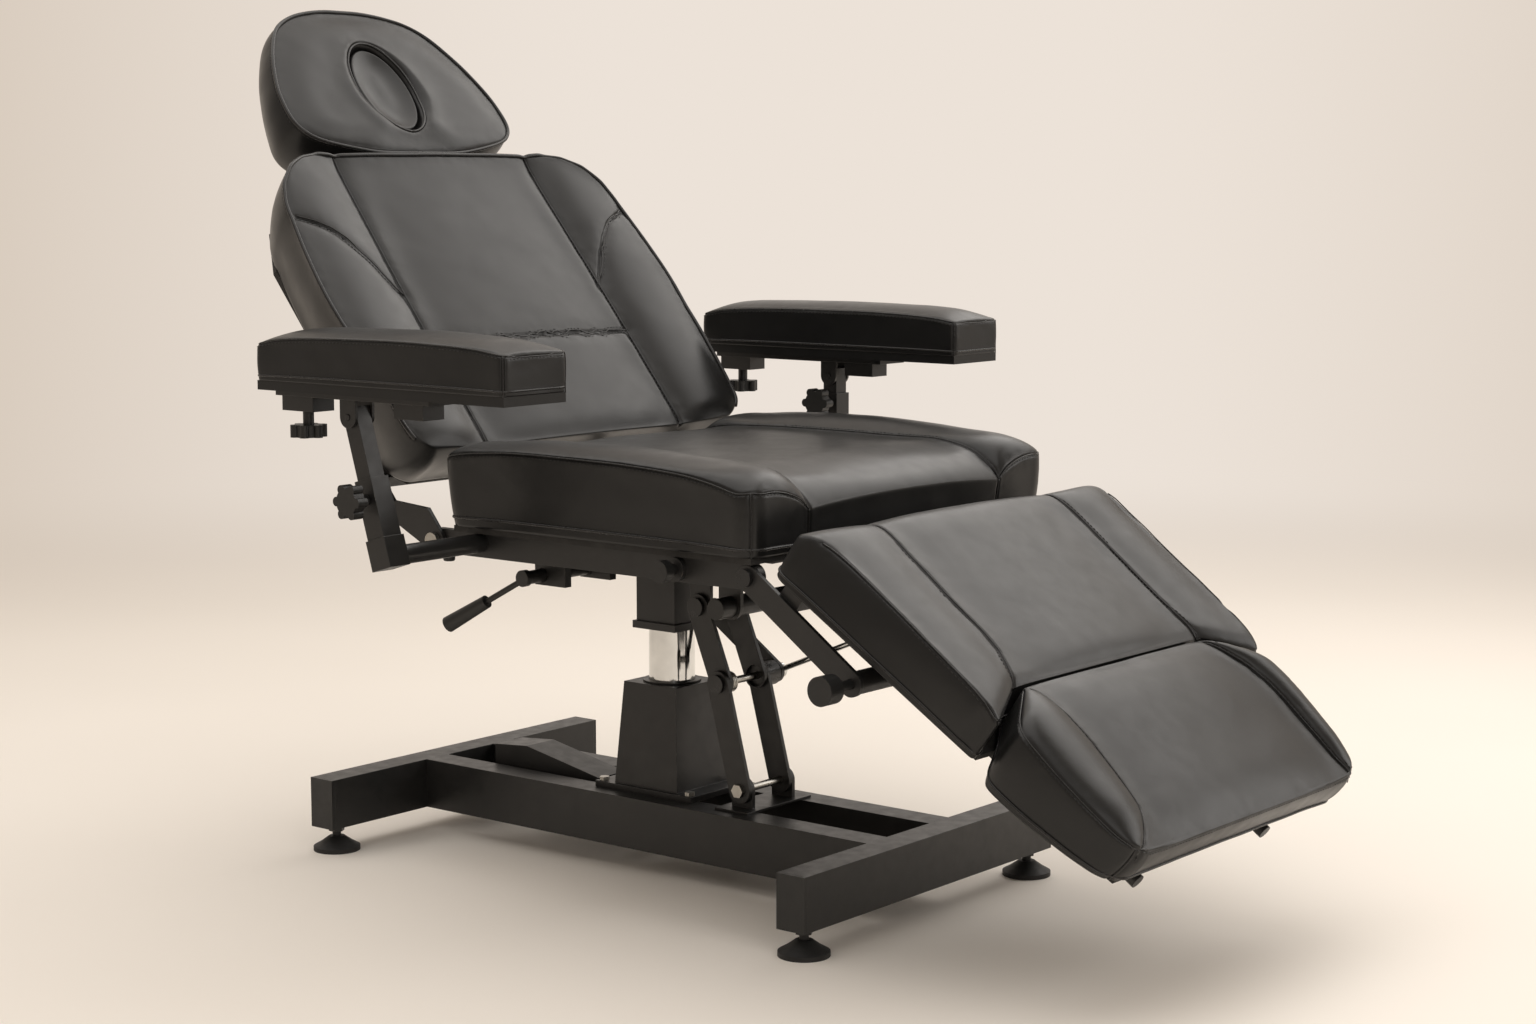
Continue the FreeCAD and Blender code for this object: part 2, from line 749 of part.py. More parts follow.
def link_bar(low, high, y, low_eye=None, high_eye=None, width="link_width"):
    """A flat bar between two pins, with round ends; low and high are (x, z) pairs of formulas."""
    rise = "(%s - %s)" % (high[1], low[1])
    run = "(%s - %s)" % (high[0], low[0])
    length = "sqrt(%s ^ 2 + %s ^ 2)" % (rise, run)
    near = y
    far = "(%s) + link_thickness" % y
    piece = join([block(("-%s / 2" % width, "%s / 2" % width), (near, far), (0, length)),
                  rod(width + " / 2", "y", near, far, 0, 0),
                  rod(width + " / 2", "y", near, far, 0, length)])
    eyes = [rod(radius, "y", "(%s) - overrun" % near, "(%s) + overrun" % far, 0, up)
            for radius, up in ((low_eye, 0), (high_eye, length)) if radius]
    if eyes:
        piece = cut(piece, eyes)
    turn(piece, (0, 1, 0), "atan2(%s; %s)" % (run, rise))
    return move(piece, low[0], 0, low[1])


LOWER_PIN = ("lower_pin_ahead", "lower_pin_height")
KNEE = ("knee_ahead", "knee_height")
UPPER_PIN = ("upper_pin_ahead", "upper_pin_height")
pin_eye = "link_pin_radius + running_gap"

# The sleeve also carries an arm that reaches forwards to the leg strut's pin
strut_arm = link_bar(("strut_arm_ahead", "strut_arm_height"), KNEE, "hanger_y", width="strut_arm_width")
strut_boss = rod("strut_boss_radius", "y", "sleeve_size / 2 - sleeve_wall", "hanger_y + link_thickness",
                 "strut_arm_ahead", "strut_arm_height")
pin_end = "leg_strut_y + eye_thickness / 2 + running_gap"
strut_pin = rod("strut_pin_radius", "y", "hanger_y + link_thickness", pin_end, *KNEE)
strut_washer = rod("strut_washer_radius", "y", pin_end, pin_end + " + link_thickness / 2", *KNEE)
sleeve_parts += [strut_arm, strut_boss, strut_pin, strut_washer]
finish("column_sleeve", cut(join(sleeve_parts), [sleeve_bore]))
finish("lower_link", group([
    link_bar(LOWER_PIN, KNEE, "-link_near_y", pin_eye, "link_pin_radius"),
    link_bar(LOWER_PIN, KNEE, "link_far_y - link_thickness", pin_eye, "link_pin_radius")]))
wide_eye = "link_pin_radius + knee_slack"
finish("upper_link", group([
    link_bar(KNEE, UPPER_PIN, "running_gap + link_thickness - link_near_y", wide_eye, pin_eye),
    link_bar(KNEE, UPPER_PIN, "link_far_y - 2 * link_thickness - running_gap", wide_eye, pin_eye)]))

knee_parts = [join([
    rod("link_pin_radius", "y", "-link_near_y", "link_far_y + knee_boss_length", *KNEE),
    rod("link_head_radius", "y", "-link_near_y - bolt_head_height", "-link_near_y", *KNEE),
    rod("knee_boss_radius", "y", "link_far_y", "link_far_y + knee_boss_length", *KNEE)])]
for turn_number in range(4):
    start = "running_gap + 2 * link_thickness - link_near_y + washer_pitch * (%d + 0.5)" % turn_number
    disc = rod("washer_radius", "y", start, start + " + washer_thickness", *KNEE)
    hole = rod("link_pin_radius", "y", start + " - overrun", start + " + washer_thickness + overrun", *KNEE)
    knee_parts.append(cut(disc, [hole]))
finish("knee_pin", group(knee_parts))


def ear(y, thickness):
    """A bracket ear round the lower pin, standing on the bracket's foot."""
    shape = join([block(("lower_pin_ahead - link_width / 2", "lower_pin_ahead + link_width / 2"),
                        (y, "%s + %s" % (y, thickness)), ("bar_top", "lower_pin_height")),
                  rod("link_width / 2", "y", y, "%s + %s" % (y, thickness), *LOWER_PIN)])
    return shape


bracket_foot = block(("lower_pin_ahead - bracket_length / 2", "lower_pin_ahead + bracket_length / 2"),
                     ("-bracket_width / 2", "bracket_width / 2"), ("bar_top", "bar_top + link_thickness / 2"))
ears = [ear("running_gap + link_thickness - link_near_y", "link_thickness"),
        ear("link_far_y + running_gap", "link_thickness")]
finish("link_bracket", cut(join([bracket_foot] + ears), [
    rod("link_pin_radius", "y", "-link_near_y - overrun", "link_near_y + overrun", *LOWER_PIN)]))

# Foot pump pedal: a channel that widens to a raised tread at its rear end


def pedal():
    crest = "(pedal_pivot_height + pedal_root_height / 2)"
    rear = "(-pedal_pivot_behind - pedal_reach)"
    web = plate([("-pedal_pivot_behind", crest), ("-pedal_pivot_behind", crest + " + pedal_plate"),
                 (rear + " + pedal_end_height", crest + " + pedal_rise + pedal_plate * 2"),
                 (rear, crest + " + pedal_rise + pedal_plate"),
                 (rear, crest + " + pedal_rise"),
                 (rear + " + pedal_end_height", crest + " + pedal_rise")],
                "-pedal_width / 2", "pedal_width")
    cheeks = []
    for y in ("-pedal_width / 2", "pedal_width / 2 - pedal_plate"):
        cheeks.append(plate([
            ("pedal_root_height / 2 - pedal_pivot_behind", "pedal_pivot_height - pedal_root_height / 2"),
            ("pedal_root_height / 2 - pedal_pivot_behind", crest),
            ("-pedal_pivot_behind", crest + " + pedal_plate / 2"),
            (rear + " + pedal_end_height", crest + " + pedal_rise + pedal_plate"),
            (rear, crest + " + pedal_rise + pedal_plate / 2"),
            (rear, crest + " + pedal_rise - pedal_end_height / 2"),
            (rear + " + pedal_end_height", crest + " + pedal_rise - pedal_end_height / 2")],
            y, "pedal_plate"))
    axle = rod("link_pin_radius", "y", "bar_width / 2 + running_gap - rail_centre_y",
               "rail_centre_y - bar_width / 2 - running_gap", "-pedal_pivot_behind", "pedal_pivot_height")
    return join([web, axle] + cheeks)


finish("pump_pedal", pedal())

# Seat frame


def seat_rail(sign):
    inner, outer = ("rail_inner_y", "rail_outer_y") if not sign else ("-rail_outer_y", "-rail_inner_y")
    bar = [block(("-back_pivot_behind", "leg_pivot_ahead"), (inner, outer), ("rail_bottom", "rail_top")),
           rod("rail_height / 2", "y", inner, outer, "-back_pivot_behind", "pivot_height"),
           rod("rail_height / 2", "y", inner, outer, "leg_pivot_ahead", "pivot_height")]
    low, high = "%s - overrun" % inner, "%s + overrun" % outer
    holes = [rod("arm_tube_radius", "y", low, high, "arm_ahead", "arm_tube_height"),
             rod("pivot_bolt_radius", "y", low, high, "-back_pivot_behind", "pivot_height"),
             rod("pivot_bolt_radius", "y", low, high, "leg_pivot_ahead", "pivot_height")]
    if sign:
        bar.append(rod("plunger_boss_radius", "y", "-rail_outer_y - plunger_boss_length", "-rail_outer_y",
                       "plunger_ahead", "pivot_height"))
        holes.append(rod("plunger_radius + running_gap", "y", "-rail_outer_y - plunger_boss_length - overrun",
                         "-rail_inner_y + overrun", "plunger_ahead", "pivot_height"))
    return cut(join(bar), holes)


finish("seat_rails", group([seat_rail("-"), seat_rail("")]))


def cross_member(x):
    return block(x, ("-rail_inner_y", "rail_inner_y"), ("rail_bottom", "rail_top"))


middle_member = cross_member(("-sleeve_size / 2", "sleeve_size / 2"))
front_member = cross_member(("front_crossbar_ahead - crossbar_width / 2",
                             "front_crossbar_ahead + crossbar_width / 2"))
strut_lug = block(("back_strut_front_ahead - back_strut_radius", "front_crossbar_ahead"),
                  ("back_arm_y", "back_arm_y + link_thickness"),
                  ("strut_height - back_strut_radius", "rail_bottom"))
strut_stub = rod("strut_pin_radius", "y", "back_arm_y - strut_pin_length", "back_arm_y",
                 "back_strut_front_ahead", "strut_height")
lugs = []
for start in ("lever_bearing_inset - lever_end_y",
              "lever_shaft_length - lever_end_y - lever_bearing_thickness"):
    lug = block(("-lever_end_behind - lever_bearing_size / 2", "-sleeve_size / 2 + lever_bearing_size / 2"),
                (start, start + " + lever_bearing_thickness"),
                ("lever_end_height - lever_bearing_size / 2", "rail_bottom"))
    lugs.append(cut(lug, [rod("lever_shaft_radius + running_gap", "y", start + " - overrun",
                              start + " + lever_bearing_thickness + overrun", "-lever_end_behind",
                              "lever_end_height")]))
finish("seat_crossbars", group([join([middle_member] + lugs),
                                join([front_member, strut_lug, strut_stub])]))
finish("arm_cross_tube", rod("arm_tube_radius", "y", "-arm_tube_end", "arm_tube_end", "arm_ahead",
                             "arm_tube_height"))
finish("seat_board", block(("board_margin - seat_rear_behind", "seat_front_ahead - board_margin"),
                           ("board_margin - seat_half_width", "seat_half_width - board_margin"),
                           ("rail_top", "board_top")))

# Hanger under the seat frame: the linkage's upper pin, the cross tube and the leg strut's pin


def hanging_plate(x, half_width, z, y):
    """A plate from the seat frame down to a pin, round at its lower end."""
    far = "%s + link_thickness" % y
    return [block(("%s - %s" % (x, half_width), "%s + %s" % (x, half_width)), (y, far), (z, "rail_bottom")),
            rod(half_width, "y", y, far, x, z)]


hanger = [block(("sleeve_size / 2 + running_gap", "front_crossbar_ahead + crossbar_width / 2"),
                ("-hanger_y - link_thickness", "hanger_y + link_thickness"),
                ("rail_bottom - link_thickness", "rail_bottom"))]
for y in ("2 * link_thickness + 2 * running_gap - link_near_y",
          "link_far_y - 3 * link_thickness - 2 * running_gap"):
    hanger += hanging_plate("upper_pin_ahead", "link_width / 2", "upper_pin_height", y)
for y in ("-hanger_y - link_thickness", "hanger_y"):
    hanger += hanging_plate("cross_tube_ahead", "link_width / 2", "cross_tube_height", y)
hanger.append(rod("cross_tube_radius", "y", "-cross_tube_near_y", "hanger_y + link_thickness",
                  "cross_tube_ahead", "cross_tube_height"))
finish("linkage_hanger", cut(join(hanger), [
    rod("link_pin_radius", "y", "-link_near_y", "link_near_y", *UPPER_PIN)]))

bolts = []
for sign in ("-", ""):
    for x in ("-back_pivot_behind", "leg_pivot_ahead"):
        spans = [("rail_inner_y", "side_plate_outer_y + running_gap"),
                 ("side_plate_outer_y + running_gap", "side_plate_outer_y + running_gap + pivot_head_height")]
        if sign:
            spans = [("-(%s)" % far, "-(%s)" % near) for near, far in spans]
        bolts.append(join([rod("pivot_bolt_radius", "y", spans[0][0], spans[0][1], x, "pivot_height"),
                           rod("pivot_head_radius", "y", spans[1][0], spans[1][1], x, "pivot_height")]))
upper_near = "link_thickness - link_near_y"
upper_far = "link_far_y - link_thickness"
bolts.append(join([
    rod("link_pin_radius", "y", upper_near, upper_far, *UPPER_PIN),
    rod("link_head_radius", "y", upper_near + " - bolt_head_height", upper_near, *UPPER_PIN),
    rod("link_head_radius", "y", upper_far, upper_far + " + bolt_head_height", *UPPER_PIN)]))
finish("frame_bolts", group(bolts))

finish("leg_lock_plunger", join([
    rod("plunger_radius", "y", "-rail_outer_y - plunger_reach", "plunger_depth - rail_outer_y",
        "plunger_ahead", "pivot_height"),
    rod("plunger_cap_radius", "y", "-rail_outer_y - plunger_reach - plunger_cap_length",
        "-rail_outer_y - plunger_reach", "plunger_ahead", "pivot_height")]))

# Recline lever: a cross shaft under the seat, a thin rod and a grip


def lever_end():
    return FreeCAD.Vector(-size("lever_end_behind"), -size("lever_end_y"),
                          size("pivot_height") - size("lever_end_drop"))


def lever_rod_direction():
    yaw = math.radians(size("lever_rod_yaw"))
    dip = math.radians(size("lever_rod_dip"))
    return FreeCAD.Vector(math.cos(yaw) * math.cos(dip), -math.sin(yaw) * math.cos(dip), -math.sin(dip))


def lever_rod():
    return Part.makeCylinder(size("lever_rod_radius"), size("lever_rod_length"), lever_end(),
                             lever_rod_direction())


def lever_shape():
    """The shaft, its round end cap and the bent-off rod."""
    inwards = FreeCAD.Vector(0, 1, 0)
    cap_length = size("lever_shaft_radius")
    shaft = Part.makeCylinder(size("lever_shaft_radius"), size("lever_shaft_length"), lever_end(), inwards)
    cap = Part.makeCylinder(size("lever_cap_radius"), cap_length, lever_end() - inwards * cap_length, inwards)
    return shaft.fuse([cap, lever_rod()])


# How much of the grip covers the rod, and how thin it starts
GRIP_COVER_SHARE = 0.8
GRIP_TAPER_SHARE = 0.8


def grip_shape():
    """A slightly tapered grip that covers the end of the rod."""
    covered = size("lever_grip_length") * GRIP_COVER_SHARE
    start = lever_end() + lever_rod_direction() * (size("lever_rod_length") - covered)
    grip = Part.makeCone(size("lever_grip_radius") * GRIP_TAPER_SHARE, size("lever_grip_radius"),
                         size("lever_grip_length"), start, lever_rod_direction())
    return grip.cut(lever_rod())


finish("recline_lever", formed(lever_shape()))
finish("lever_grip", formed(grip_shape()))


# Seat cushion: the side line is low at the rear, level over the middle and falls to the front

SEAT_LINE_SHARES = ((0.0, "rear", 1.0), (0.12, "rear", 0.0), (0.36, "rear", 0.0), (0.62, "front", 0.17),
                    (0.81, "front", 0.5), (1.0, "front", 1.0))


def seat_stations():
    rear, front = -size("seat_rear_behind"), size("seat_front_ahead")
    rows = []
    for along_share, end, drop_share in SEAT_LINE_SHARES:
        middle = size("seat_edge_middle")
        edge = middle - (middle - size("seat_edge_" + end)) * drop_share
        along = rear + (front - rear) * along_share
        rows.append((along, size("seat_half_width"), 0.0, edge, size("seat_crown")))
    return rows


SEAT_SEAM_SHARE = 0.7
seat = formed(cushion(seat_stations(), flat_point, seam_share=SEAT_SEAM_SHARE, bolster=size("seat_bolster")))
finish("seat_cushion", seat, 0, 0, "board_top + soft_gap")

# Back


def pivot_plate(y):
    return [plate([("-back_plate_width / 2", 0), ("back_plate_width / 2", 0),
                   ("back_plate_width / 2", "back_plate_knee / 2"),
                   ("upright_front", "back_bottom - board_thickness"),
                   ("upright_front", "lower_crossbar_up + upright_size"),
                   ("upright_rear", "lower_crossbar_up + upright_size"),
                   ("upright_rear", "back_plate_knee")], y, "plate_thickness"),
            rod("back_plate_width / 2", "y", y, "%s + plate_thickness" % y, 0, 0)]


pivot_frame = pivot_plate("-side_plate_outer_y") + pivot_plate("side_plate_y")
pivot_frame.append(block(("upright_rear", "upright_front"), ("-side_plate_y", "side_plate_y"),
                         ("lower_crossbar_up", "lower_crossbar_up + upright_size")))
pivot_frame.append(block(("back_arm_x - back_arm_width / 2", "upright_front"),
                         ("back_arm_y", "back_arm_y + link_thickness"),
                         ("back_arm_z", "lower_crossbar_up + upright_size / 2")))
pivot_frame.append(rod("back_arm_width / 2", "y", "back_arm_y", "back_arm_y + link_thickness",
                       "back_arm_x", "back_arm_z"))
pivot_frame.append(rod("strut_pin_radius", "y", "back_arm_y - strut_pin_length", "back_arm_y",
                       "back_arm_x", "back_arm_z"))
pivot_eye = "pivot_bolt_radius + running_gap"
finish_on_back("back_pivot_frame", cut(join(pivot_frame), [
    rod(pivot_eye, "y", "-side_plate_outer_y - overrun", "-side_plate_y + overrun", 0, 0),
    rod(pivot_eye, "y", "side_plate_y - overrun", "side_plate_outer_y + overrun", 0, 0)]))

frame = [block(("upright_rear", "upright_front"), y,
               ("lower_crossbar_up + upright_size", "guide_high_up + upright_size"))
         for y in (("-upright_y - upright_size", "-upright_y"), ("upright_y", "upright_y + upright_size"))]
for up in ("guide_low_up", "guide_high_up"):
    bar = block(("upright_rear", "upright_front"), ("-upright_y", "upright_y"), (up, up + " + upright_size"))
    frame.append(cut(bar, [rod("head_rod_radius + running_gap", "z", up + " - overrun",
                               up + " + upright_size + overrun", "head_rod_x", sign + "head_rod_y")
                           for sign in ("-", "")]))
finish_on_back("back_frame", join(frame))

# Half widths of the back along its height, as shares of the widest
BACK_SHARES = ((0.0, 0.865), (0.047, 0.957), (0.104, 0.985), (0.49, 1.0), (0.78, 0.955), (0.916, 0.9),
               (0.96, 0.82), (1.0, 0.7))
BOARD_CORNERS = ((0.03, 0.76), (0.08, 0.85), (0.75, 0.85), (0.89, 0.76), (0.94, 0.62))


def back_station(up_share, width_share):
    up = size("back_bottom") + (size("back_top") - size("back_bottom")) * up_share
    half_width = size("back_half_width") * width_share
    return (up, half_width, size("back_rear"), size("back_edge"), size("back_crown"))


def back_corner(up_share, width_share, sign):
    return ("%s back_half_width * %s" % (sign, width_share),
            "back_bottom + (back_top - back_bottom) * %s" % up_share)


board_corners = [back_corner(up, wide, "") for up, wide in BOARD_CORNERS]
board_corners += [back_corner(up, wide, "-") for up, wide in reversed(BOARD_CORNERS)]
finish_on_back("back_board", group([panel(board_corners, "upright_front", "board_thickness")]))

BACK_SEAM_SHARE = 0.575
finish_on_back("back_cushion", formed(cushion(
    [back_station(up, wide) for up, wide in BACK_SHARES], leaning_point, seam_share=BACK_SEAM_SHARE,
    bolster=size("back_bolster"), tuck=size("back_tuck"), seam_rise=size("back_seam_sink"))))


def strut_barrel(length, radius, bore, eye_hole, axis_y):
    """A gas strut's barrel along Z: its eye at the origin, open at the far end."""
    outer = [rod(radius, "z", "strut_neck_length", length, 0, axis_y),
             rod("strut_neck_radius", "z", 0, "strut_neck_length", 0, axis_y),
             rod("(%s) + eye_wall" % eye_hole, "y", "%s - eye_thickness / 2" % axis_y,
                 "%s + eye_thickness / 2" % axis_y, 0, 0)]
    holes = [rod(eye_hole, "y", "%s - eye_reach" % axis_y, "%s + eye_reach" % axis_y, 0, 0),
             rod(bore, "z", "strut_neck_length + strut_end_wall", "%s + overrun" % length, 0, axis_y)]
    return cut(join(outer), holes)


def strut_rod(length, eye_hole, axis_y):
    """A gas strut's rod along Z, its eye at the origin."""
    outer = [rod("strut_rod_radius", "z", 0, length, 0, axis_y),
             rod("(%s) + eye_wall" % eye_hole, "y", "%s - eye_thickness / 2" % axis_y,
                 "%s + eye_thickness / 2" % axis_y, 0, 0)]
    return cut(join(outer), [rod(eye_hole, "y", "%s - eye_reach" % axis_y,
                                 "%s + eye_reach" % axis_y, 0, 0)])


close_eye = "strut_pin_radius + running_gap"
rod_bore = "strut_rod_radius + running_gap"
finish("back_strut_cylinder", strut_barrel("back_strut_length", "back_strut_radius", rod_bore,
                                           close_eye, "back_strut_y"),
       "back_strut_front_ahead", 0, "strut_height", -90)
finish("back_strut_rod", strut_rod("back_strut_front_ahead + strut_rear_behind - back_rod_setback",
                                   "strut_pin_radius + strut_slack", "back_strut_y"),
       "-strut_rear_behind", 0, "strut_height", 90)

# Headrest


HEAD_SHARES = ((0.0, 0.66), (0.075, 0.86), (0.17, 0.975), (0.3, 1.0), (0.49, 0.965), (0.63, 0.9),
               (0.77, 0.75), (0.88, 0.59), (1.0, 0.42))


def head_stations():
    low, high = size("head_bottom"), size("head_top")
    return [(low + (high - low) * up_share, size("head_half_width") * width_share, size("head_rear"),
             size("head_edge"), size("head_crown") * width_share) for up_share, width_share in HEAD_SHARES]


def oval(gap, front):
    """An upright oval prism through the headrest, smaller than the face hole by a gap all round."""
    centre = FreeCAD.Vector(size("head_rear") + gap, 0, size("face_hole_up"))
    half_height = size("face_hole_half_height") - gap
    half_width = size("face_hole_half_width") - gap
    ring = Part.Ellipse(FreeCAD.Vector(), half_height, half_width).toShape()
    face = Part.Face(Part.Wire([ring]))
    face.rotate(FreeCAD.Vector(), FreeCAD.Vector(0, 1, 0), -90)
    face.translate(centre)
    return face.extrude(FreeCAD.Vector(front - centre.x, 0, 0))


def plug_shape():
    """The plug of the face hole: a shallow dish sunk below the cushion's front."""
    front = size("head_edge") + size("head_crown") - size("plug_sink")
    dish, half_height = size("plug_dish"), size("face_hole_half_height")
    radius = (half_height ** 2 + dish ** 2) / (2 * dish)
    ball = Part.makeSphere(radius, FreeCAD.Vector(front + radius - dish, 0, size("face_hole_up")))
    return oval(size("plug_gap"), front).cut(ball)


finish_on_back("headrest_frame", join(
    [block(("head_rear - soft_gap - board_thickness", "head_rear - soft_gap"),
           ("-head_plate_half_width", "head_plate_half_width"), ("head_plate_bottom", "head_plate_top"))]
    + [rod("head_rod_radius", "z", "head_rod_bottom", "head_rod_top", "head_rod_x", sign + "head_rod_y")
       for sign in ("-", "")]
    + [block(("head_rod_x", "head_rear - soft_gap - board_thickness"),
             (sign + "head_rod_y - head_rod_radius", sign + "head_rod_y + head_rod_radius"),
             ("head_plate_bottom", "head_rod_top")) for sign in ("-", "")]))
head = cushion(head_stations(), leaning_point, tuck=size("head_tuck"))
face_hole = oval(0, size("head_edge") + size("head_crown") + size("overrun"))
finish_on_back("headrest_cushion", formed(head.cut(face_hole)))
finish_on_back("headrest_plug", formed(plug_shape()))

# Leg rest

CLAMP_TUBE = ("leg_bar_end", "clamp_tube_offset")
leg_bars = [link_bar((0, 0), CLAMP_TUBE, y, "pivot_bolt_radius + running_gap", knob_hole, "leg_bar_width")
            for y, knob_hole in (("-side_plate_outer_y", "foot_knob_stem_radius + running_gap"),
                                 ("side_plate_y", None))]
first_bar = block(("leg_crossbar_first", "leg_crossbar_first + crossbar_width"),
                  ("-side_plate_y", "side_plate_y"), ("leg_crossbar_low", "calf_board_low"))
leg_ear_y = "leg_strut_y + eye_thickness / 2 + running_gap"
leg_ear = [block(("leg_strut_top_along - back_strut_radius", "leg_crossbar_first + crossbar_width"),
                 (leg_ear_y, leg_ear_y + " + link_thickness"), ("-leg_strut_top_drop", "calf_board_low")),
           rod("back_strut_radius", "y", leg_ear_y, leg_ear_y + " + link_thickness",
               "leg_strut_top_along", "-leg_strut_top_drop"),
           rod("strut_pin_radius", "y", "leg_strut_y - eye_thickness / 2", leg_ear_y,
               "leg_strut_top_along", "-leg_strut_top_drop")]
second_bar = [block(("leg_crossbar_second", "leg_crossbar_second + crossbar_width"),
                    ("-slide_y - guide_lug * 2", "slide_y + guide_lug * 2"),
                    ("leg_crossbar_low", "calf_board_low"))]
second_bar += [block(("leg_crossbar_second", "leg_crossbar_second + crossbar_width"),
                     (sign + "slide_y - guide_lug / 2", sign + "slide_y + guide_lug / 2"),
                     ("clamp_tube_offset - guide_lug / 2", "leg_crossbar_low")) for sign in ("-", "")]
slide_holes = [rod("slide_radius + running_gap", "x", "leg_bar_end - clamp_tube_radius - overrun",
                   "leg_crossbar_second + crossbar_width + overrun", sign + "slide_y", "clamp_tube_offset")
               for sign in ("-", "")]
clamp_tube = cut(rod("clamp_tube_radius", "y", "-side_plate_y", "side_plate_y", *CLAMP_TUBE),
                 slide_holes + [rod("foot_knob_stem_radius + running_gap", "y", "-side_plate_y - overrun",
                                    "foot_knob_stem - side_plate_y", *CLAMP_TUBE)])
finish_on_leg("leg_frame", group([join(leg_bars + [first_bar, clamp_tube] + leg_ear),
                                  cut(join(second_bar), slide_holes)]))
finish_on_leg("leg_board", block(("calf_start + board_margin", "calf_end - board_margin"),
                                 ("board_margin * 2 - calf_end_half_width",
                                  "calf_end_half_width - board_margin * 2"),
                                 ("calf_board_low", "calf_board_top")))

CALF_SHARES = (0.0, 0.25, 0.5, 0.75, 1.0)


def tapered_stations(name, shares):
    """Stations from a start to an end, every size running straight between its two values."""
    def between(first, last, share):
        return size(first) + (size(last) - size(first)) * share

    low = (name + "_bottom_start", name + "_bottom_end") if name == "foot" else (name + "_bottom",) * 2
    edge = (name + "_edge_start", name + "_edge_end") if name == "foot" else (name + "_edge",) * 2
    return [(between(name + "_start", name + "_end", share),
             between(name + "_start_half_width", name + "_end_half_width", share),
             between(low[0], low[1], share), between(edge[0], edge[1], share), size(name + "_crown"))
            for share in shares]


def calf_notch():
    """The room in the calf cushion's far end for the foot cushion's tongue: its sides splay outwards."""
    start = size("tongue_start") - size("tongue_gap")
    end, beyond = size("calf_end"), size("calf_end") + size("overrun")
    low = size("calf_bottom") - size("overrun")
    inner, outer = size("tongue_half_width"), size("calf_end_half_width")
    corners = [(start, -inner), (end, -outer), (beyond, -outer), (beyond, outer), (end, outer), (start, inner)]
    corners.append(corners[0])
    face = Part.Face(Part.makePolygon([flat_point(along, y, low) for along, y in corners]))
    return face.extrude(FreeCAD.Vector(0, 0, size("calf_edge") * 2))


CALF_SEAM_SHARE = 0.63
calf = cushion(tapered_stations("calf", CALF_SHARES), flat_point, seam_share=CALF_SEAM_SHARE,
               bolster=size("calf_bolster"))
finish_on_leg("calf_cushion", formed(calf.cut(calf_notch())))

LEG_PIN_X = "(leg_pivot_ahead + leg_strut_top_along * cos(leg_slope) - leg_strut_top_drop * sin(leg_slope))"
LEG_PIN_Z = "(pivot_height - leg_strut_top_along * sin(leg_slope) - leg_strut_top_drop * cos(leg_slope))"
strut_run = "(%s - knee_ahead)" % LEG_PIN_X
strut_climb = "(%s - knee_height)" % LEG_PIN_Z
strut_tilt = "atan2(%s; %s)" % (strut_run, strut_climb)
finish("leg_strut_rod", strut_rod("leg_rod_length", close_eye, "leg_strut_y"), "knee_ahead", 0, "knee_height",
       strut_tilt)
finish("leg_strut_cylinder", strut_barrel("leg_strut_body", "leg_strut_radius", rod_bore,
                                          "strut_pin_radius + leg_eye_slack", "leg_strut_y"),
       LEG_PIN_X, 0, LEG_PIN_Z, strut_tilt + " + 180 deg")

# Foot rest

foot_slides = []


def board_low(along):
    return "(foot_bottom_start - soft_gap - board_thickness + (%s - foot_start) * foot_rise)" % along


for sign in ("-", ""):
    parts = [rod("slide_radius", "x", "slide_start", "slide_end", sign + "slide_y", "clamp_tube_offset")]
    for setback in ("foot_tab_far_behind", "foot_tab_near_behind"):
        start = "(slide_end - %s)" % setback
        end = "(%s + foot_tab_length)" % start
        corners = [(start, "clamp_tube_offset"), (end, "clamp_tube_offset"), (end, board_low(end)),
                   (start, board_low(start))]
        parts.append(plate(corners, sign + "slide_y - link_thickness / 2", "link_thickness"))
    foot_slides.append(join(parts))
finish_on_leg("foot_slides", group(foot_slides))

board_start, board_end = "(foot_start + board_margin)", "(foot_end - board_margin)"
board_edge = [(board_start, board_low(board_start)), (board_end, board_low(board_end)),
              (board_end, board_low(board_end) + " + board_thickness"),
              (board_start, board_low(board_start) + " + board_thickness")]
finish_on_leg("foot_board", group([plate(board_edge, "-foot_board_half_width", "foot_board_half_width * 2")]))


def foot_shape():
    """The foot cushion: its widening tongue lies over the end of the leg board, clear of it."""
    rows = tapered_stations("foot", FOOT_SHARES)
    tongue_end = (size("tongue_start"), size("tongue_half_width")) + rows[0][2:]
    whole = cushion([tongue_end] + rows, flat_point)
    corner = FreeCAD.Vector(size("tongue_start") - size("overrun"),
                            -size("foot_start_half_width") - size("overrun"),
                            size("foot_bottom_start") - size("overrun"))
    opposite = FreeCAD.Vector(size("foot_start"), size("foot_start_half_width") + size("overrun"),
                              size("calf_bottom") + size("tongue_rise"))
    room = Part.makeBox(*(opposite - corner), corner)
    return whole.cut(room)


FOOT_SHARES = (0.0, 0.5, 1.0)
finish_on_leg("foot_cushion", formed(foot_shape()))
finish_on_leg("foot_knob", join([
    rod("foot_knob_stem_radius", "y", "-side_plate_outer_y - foot_knob_stem",
        "foot_knob_stem / 2 - side_plate_outer_y", *CLAMP_TUBE),
    rod("foot_knob_radius", "y", "-side_plate_outer_y - foot_knob_stem - foot_knob_length",
        "-side_plate_outer_y - foot_knob_stem", *CLAMP_TUBE)]))

# Arms


